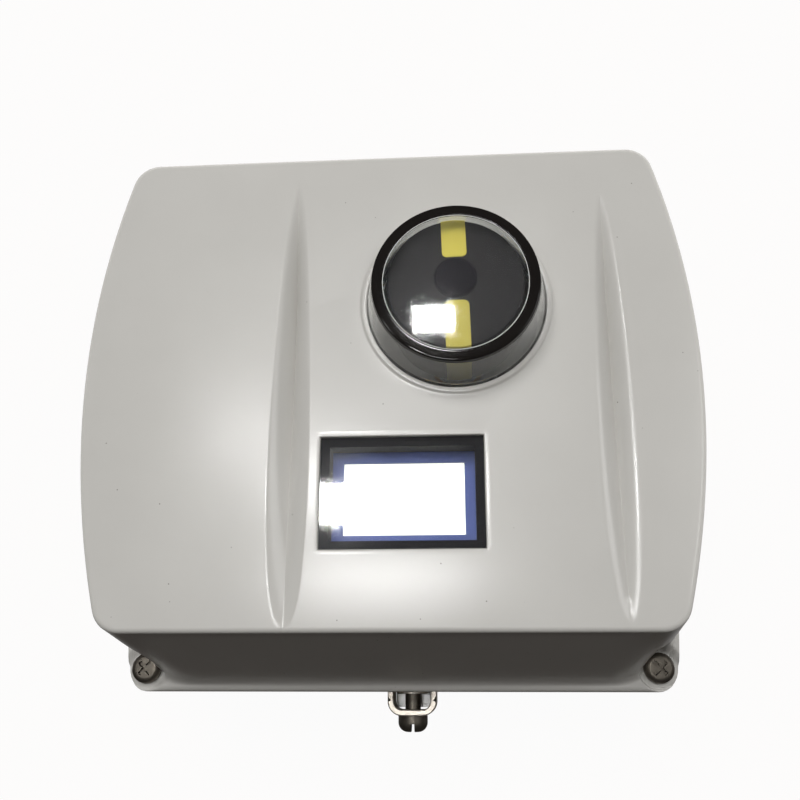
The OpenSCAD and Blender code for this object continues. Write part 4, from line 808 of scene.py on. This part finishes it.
# %% Metals
zinc, shaded_zinc, tinned, milled, bronze, brass = finish_rows("Metallic", (
    # Fresh zinc plating is a cool pale grey with a soft, slightly uneven shine.
    ("zinc_plated_steel", "#a9a8a2", "#c9c7be", 3, (0.22, 0.38), 0.3, 0.004, 1.0),
    # The same zinc plate, duller and darker for the screws: the darker colour is painted shade,
    # without sparkle.
    ("weathered_zinc_plate", "#5d5850", "#79736a", 2, (0.38, 0.55), 0.4, 0.006, 1.0),
    # Tin over brass is pale and warm, with a buttery blur instead of reflections.
    ("tinned_brass", "#d6cec2", "#e6ded2", 2, (0.42, 0.55), 0.4, 0.006, 1.0),
    # Milled aluminium is bright and neutral, with a fine broken gloss from the cutter.
    ("milled_aluminium", "#b4b6b8", "#c8cacc", 4, (0.25, 0.4), 0.25, 0.006, 1.0),
    # Sintered bronze is open-pored, so it glows brown without a clear highlight.
    ("sintered_bronze", "#9a7242", "#b58b55", 1.2, (0.4, 0.55), 0.3, 0.02, 1.0),
    # Cut brass is a clean yellow that flashes along tooth flanks.
    ("cut_brass", "#b8963e", "#d0b05a", 3, (0.25, 0.35), 0.3, 0.004, 1.0)))
print(len(bpy.data.materials), "materials so far")

# %% [markdown]
# ## Plastics, rubber and boards
# Most of these are hidden until the cover is lifted, but each has the finish that its maker would give
# it. The display glows a little by itself: a painted glow that lifts it to an even white.

# %% Plastics, rubber and boards
# Strength of the display's painted glow
display_painted_glow = 0.55
rubber, keys, panel, case_abs, board, nylon = finish_rows("IOR", (
    # Nitrile rubber is a dry black that swallows highlights.
    ("moulded_nitrile_rubber", "#171717", "#242424", 3, (0.6, 0.8), 0.4, 0.02, 1.52),
    # Silicone keys are a soft slate grey with a faint skin sheen.
    ("silicone_key_rubber", "#34363c", "#43454c", 2, (0.5, 0.7), 0.3, 0.015, 1.42),
    # Printed polyester film is an even, saturated blue under a matt grain.
    ("printed_polyester_blue", "#2d4080", "#384c92", 8, (0.5, 0.65), 0.5, 0.006, 1.57),
    # The case's ABS is a mid grey with the fine texture of an eroded mould.
    ("moulded_abs_case_grey", "#55585c", "#63666a", 6, (0.45, 0.6), 0.5, 0.015, 1.53),
    # Solder mask on glass epoxy is a translucent green with a wet edge of gloss.
    ("glass_epoxy_green", "#1f5a34", "#2c7044", 4, (0.3, 0.45), 0.6, 0.006, 1.55),
    # Terminal nylon is a milky green with a waxy highlight.
    ("moulded_nylon_terminal_green", "#3f7a4c", "#4c8a58", 5, (0.4, 0.55), 0.5, 0.012, 1.53)))
# The display is an even, slightly warm white without an image, and its glow is painted light.
lcd_painted_glow, tree, where, tint, shader = layers(
    "liquid_crystal_painted_glow", "#f2f2e8", "#fafaf2", cloud_mm=12, rough=(0.2, 0.3),
    grain_mm=0.4, relief_mm=0.001, IOR=1.52)
tree.links.new(tint, shader.inputs["Emission Color"])
shader.inputs["Emission Strength"].default_value = display_painted_glow
print(len(bpy.data.materials), "materials so far")

# %% [markdown]
# ## Which piece has which finish
# One table gives every CAD node that stays visible its finish.

# %% Table of finishes
finishes = {
    housing_paint: ("housing", "entry_block", "bearing_bridge"),
    milled: ("port_block", "spool_valve_body", "window_retainer", "prestage_unit"),
    zinc: ("retainer_screws", "bridge_screws", "valve_screws", "terminal_screws", "feedback_shaft",
           "shaft_clip", "spool", "spool_end_plugs", "board_spacers"),
    # The zinc with painted shade, for the screws in the pockets and on the lower wall.
    shaded_zinc: ("cover_screws", "earth_screw"),
    tinned: ("earth_clamp", "earth_washer"),
    bronze: ("lower_bush", "upper_bush", "exhaust_filter"),
    brass: ("shaft_gear", "sensor_pinion"),
    rubber: ("cover_gasket", "shaft_seal", "window_gasket"),
    keys: ("button_1", "button_2", "button_3", "button_4"),
    panel: ("ui_panel",),
    case_abs: ("electronics_case", "position_sensor"),
    board: ("controller_board", "ui_board"),
    nylon: ("terminal_block",),
    lcd_painted_glow: ("lcd_module",),
    acrylic: ("lcd_window",),
    mask_abs: ("lcd_mask",),
    hub_black: ("pointer_cap",)}
print(sum(map(len, finishes.values())), "CAD nodes have a finish")

# %% [markdown]
# ## Smooth shading for the CAD nodes
# The CAD nodes arrive as loose triangles, so a round screw head would look faceted. Their meshes stay
# as they are: a Geometry Nodes modifier welds the triangles and shades them smooth, except along
# edges that turn by more than a set angle. Four pieces near the camera also get a small Bevel, since
# bent and turned metal catches light along its edges. Like the cap, the pane casts no shadow.

# %% Weld, shade and round
hard_angle, weld_m = math.radians(35), 2e-6
rounding_mm = {"earth_clamp": 0.4, "earth_screw": 0.3, "cover_screws": 0.2, "port_block": 0.4}
weld = bpy.data.node_groups.new("weld_and_shade", "GeometryNodeTree")
for way in ("INPUT", "OUTPUT"):
    weld.interface.new_socket("Geometry", in_out=way, socket_type="NodeSocketGeometry")
source = add(weld, "NodeGroupInput")
merged = add(weld, "GeometryNodeMergeByDistance", {"Geometry": source.outputs[0], "Distance": weld_m})
smooth = add(weld, "GeometryNodeSetShadeSmooth", {
    "Geometry": merged.outputs[0], "Shade Smooth": True}, domain="FACE")
angle = add(weld, "GeometryNodeInputMeshEdgeAngle")
sharp = add(weld, "FunctionNodeCompare", {"A": angle.outputs["Unsigned Angle"], "B": hard_angle},
            data_type="FLOAT", operation="GREATER_THAN")
edged = add(weld, "GeometryNodeSetShadeSmooth", {
    "Geometry": smooth.outputs[0], "Selection": sharp.outputs[0],
    "Shade Smooth": False}, domain="EDGE")
add(weld, "NodeGroupOutput", {0: edged.outputs[0]})
for material, names in finishes.items():
    for name in names:
        cad[name].data.materials.clear()
        cad[name].data.materials.append(material)
        cad[name].modifiers.new("weld", "NODES").node_group = weld
cad["lcd_window"].visible_shadow = False
for name, width_mm in rounding_mm.items():
    edge = cad[name].modifiers.new("rounded", "BEVEL")
    edge.width, edge.segments, edge.angle_limit = width_mm / 1000, 3, hard_angle
    edge.harden_normals = True
print("welded", sum(map(len, finishes.values())), "nodes, rounded", len(rounding_mm))

# %% [markdown]
# ## The floor
# The floor lies just under the lowest point. The camera and clear plastic see it white. As a source of
# light it is dark and brown, which keeps the lower wall as dim and warm as it is in the photograph.
# Metal and paint mirror a share of the white: a small one before the lower wall and a large one
# elsewhere, so that the other sides and their screws don't look black.

# %% Floor
scene = bpy.context.scene
scene.view_settings.view_transform = "Standard"
floor_gap, floor_half, paper_white, fibre_mm = 0.0005, 3, 0.96, 6
front_y, back_y, front_share, back_share = -0.13, -0.05, 0.05, 0.7  # metres, and shares of the white
floor_z = cad_box[0].z - floor_gap
mesh = bpy.data.meshes.new("floor")
corners = [(x * floor_half, y * floor_half, floor_z) for x, y in ((-1, -1), (1, -1), (1, 1), (-1, 1))]
mesh.from_pydata(corners, [], [(0, 1, 2, 3)])
floor = bpy.data.objects.new("floor", mesh)
bpy.context.collection.objects.link(floor)
# Uncoated paper has no shine at all and only shows its fibre as a slow mottle.
paper = bpy.data.materials.new("paper_floor")
tree = blank(paper)
where = add(tree, "ShaderNodeTexCoord").outputs["Object"]
fibre = add(tree, "ShaderNodeTexNoise", {"Vector": where, "Scale": 1000 / fibre_mm, "Detail": 3.0})
tint = blend(tree, fibre.outputs["Fac"], colour("#241b12"), colour("#2a2017"))
matt = add(tree, "ShaderNodeBsdfDiffuse", {"Color": tint})
white = add(tree, "ShaderNodeEmission", {"Color": (1, 1, 1, 1), "Strength": paper_white})
lit = add(tree, "ShaderNodeAddShader", {0: matt.outputs[0], 1: white.outputs[0]})
ray = add(tree, "ShaderNodeLightPath")
depth = add(tree, "ShaderNodeSeparateXYZ", {0: where}).outputs["Y"]
mirror = add(tree, "ShaderNodeMapRange", {
    "Value": depth, "From Min": front_y, "From Max": back_y,
    "To Min": front_share, "To Max": back_share})
shine = maths(tree, "MULTIPLY", ray.outputs["Is Glossy Ray"], mirror.outputs["Result"])
seen = maths(tree, "MAXIMUM", ray.outputs["Is Camera Ray"], shine)
seen = maths(tree, "MAXIMUM", seen, ray.outputs["Is Transmission Ray"])
pick = add(tree, "ShaderNodeMixShader", {0: seen, 1: matt.outputs[0], 2: lit.outputs[0]})
add(tree, "ShaderNodeOutputMaterial", {"Surface": pick.outputs[0]})
mesh.materials.append(paper)
print("floor at", round(floor_z * 1000, 1), "mm")

# %% [markdown]
# ## Lamps that light
# A broad soft lamp above the front does most of the work, a smaller one to the right models the
# grooves, and three low strips reach the walls from the sides and from behind. The soft lamp and the
# strips aren't mirrored in the surfaces, so the glossy pieces stay free of large pale patches.


# %% Lamps
def lamp(name, at, aim, size, power, mirrored, lights=True):
    """A rectangular lamp at a point, facing its aim. One that isn't mirrored lights the surfaces, but
    neither paint nor clear plastic shows its image, and one that doesn't light is only an image."""
    light = bpy.data.lights.new(name, "AREA")
    light.shape, light.size, light.size_y, light.energy = "RECTANGLE", size[0], size[1], power
    holder = bpy.data.objects.new(name, light)
    back = (Vector(at) - Vector(aim)).normalized()
    across = (Vector((1, 0, 0)) - back * back.x).normalized()
    facing = Matrix((across, back.cross(across), back)).transposed()
    holder.matrix_world = Matrix.Translation(at) @ facing.to_4x4()
    holder.visible_glossy = holder.visible_transmission = mirrored
    holder.visible_diffuse, holder.visible_camera = lights, False
    bpy.context.collection.objects.link(holder)


middle = front_centre / 1000
lamp("front_soft", middle + Vector((-0.3, 0.75, 2.5)), middle,
     size=(1.4, 1.4), power=57, mirrored=False)
lamp("right_window", middle + Vector((0.96, 0.2, 1.14)), middle,
     size=(0.6, 0.6), power=3, mirrored=True)
low_mm = 30  # the strips' height, below the edge of the front
low_aim = Vector((case_x, case_y, low_mm)) / 1000
strips = {"left_low": ((-1, 0.35, 0), 3.5), "right_low": ((1, 0.35, 0), 5),
          "back_low": ((0, 1, 0), 5)}
for name, (away, power) in strips.items():
    lamp(name, low_aim + Vector(away), low_aim, size=(0.6, 0.1), power=power, mirrored=False)
print("lamps:", 2 + len(strips))

# %% [markdown]
# ## Panels that are only mirrored
# Bright patches in the photograph are images of a window in the cap, the pane and the paint. Each is
# made by a small lamp that lights nothing. Its place follows from the law of reflection: the line of
# sight to the patch is mirrored on the surface and followed outwards.


# %% Mirrored panels
def glint(name, patch, z, power, lean=0.0, away=1.2):
    """A small lamp whose image on a surface at height z fills a rectangle of the photograph, given by
    its left, top, right and bottom in pixels. The line of sight through the rectangle's middle is
    mirrored on the surface's normal, which may lean along y, and followed for the distance away."""
    left, top, right, bottom = patch
    x, y = (left + right - image_px) / 2 / focal_px, (image_px - top - bottom) / 2 / focal_px
    sight = turn @ Vector((x, y, -1))
    spot = eye + sight * ((z - eye.z) / sight.z)
    path = (spot - eye).length / 1000 + away
    mirror = sight.reflect(Vector((0, lean, 1)).normalized()).normalized()
    size = ((right - left) / focal_px * path, (bottom - top) / focal_px * path)
    lamp(name, spot / 1000 + mirror * away, spot / 1000, size, power, mirrored=True, lights=False)


glints = {
    "glint_dial": dict(patch=(413, 306, 454, 332), z=cap_top, power=0.8),
    "glint_pane": dict(patch=(319, 484, 362, 523), z=pane_hi[2], power=2.2),
    "glint_paint": dict(patch=(300, 560, 460, 610), z=edge_z, power=2.0, lean=-0.05),
    "glint_edge": dict(patch=(300, 600, 450, 620), z=edge_z, power=0.6, lean=-0.085),
    "glint_left": dict(patch=(195, 412, 275, 460), z=edge_z, power=0.6)}
for name, values in glints.items():
    glint(name, **values)
print("mirrored panels:", len(glints))

# %% [markdown]
# ## The world
# The camera sees plain white. The surfaces see a dim room that is paler overhead and behind, with a
# small share of the white for what is mirrored or seen through clear plastic. At the full share the
# dial and the display frame would turn grey behind the reflections.

# %% World
mirror_share, clear_share = 0.05, 0.06
pale_way, dim_from, pale_to = (0.0, 0.45, 0.89), -0.3, 1.0
world = bpy.data.worlds.new("studio")
scene.world = world
tree = blank(world)
sky = add(tree, "ShaderNodeTexCoord").outputs["Generated"]
lean = add(tree, "ShaderNodeVectorMath", {0: sky, 1: pale_way}, operation="DOT_PRODUCT")
level = add(tree, "ShaderNodeMapRange", {
    "Value": lean.outputs["Value"], "From Min": dim_from, "From Max": pale_to})
tone = blend(tree, level.outputs["Result"], colour("#231b13"), colour("#646464"))
room = add(tree, "ShaderNodeBackground", {"Color": tone})
white = add(tree, "ShaderNodeBackground", {"Color": (1, 1, 1, 1)})
ray = add(tree, "ShaderNodeLightPath")
shine = maths(tree, "MULTIPLY", ray.outputs["Is Glossy Ray"], mirror_share)
through = maths(tree, "MULTIPLY", ray.outputs["Is Transmission Ray"], clear_share)
seen = maths(tree, "MAXIMUM", ray.outputs["Is Camera Ray"], shine)
seen = maths(tree, "MAXIMUM", seen, through)
pick = add(tree, "ShaderNodeMixShader", {0: seen, 1: room.outputs[0], 2: white.outputs[0]})
add(tree, "ShaderNodeOutputWorld", {"Surface": pick.outputs[0]})
print("world mirrors", mirror_share, "and passes", clear_share, "of its white")

# %% Sizes
print("CAD box", [[round(v * 1000, 1) for v in c] for c in cad_box])
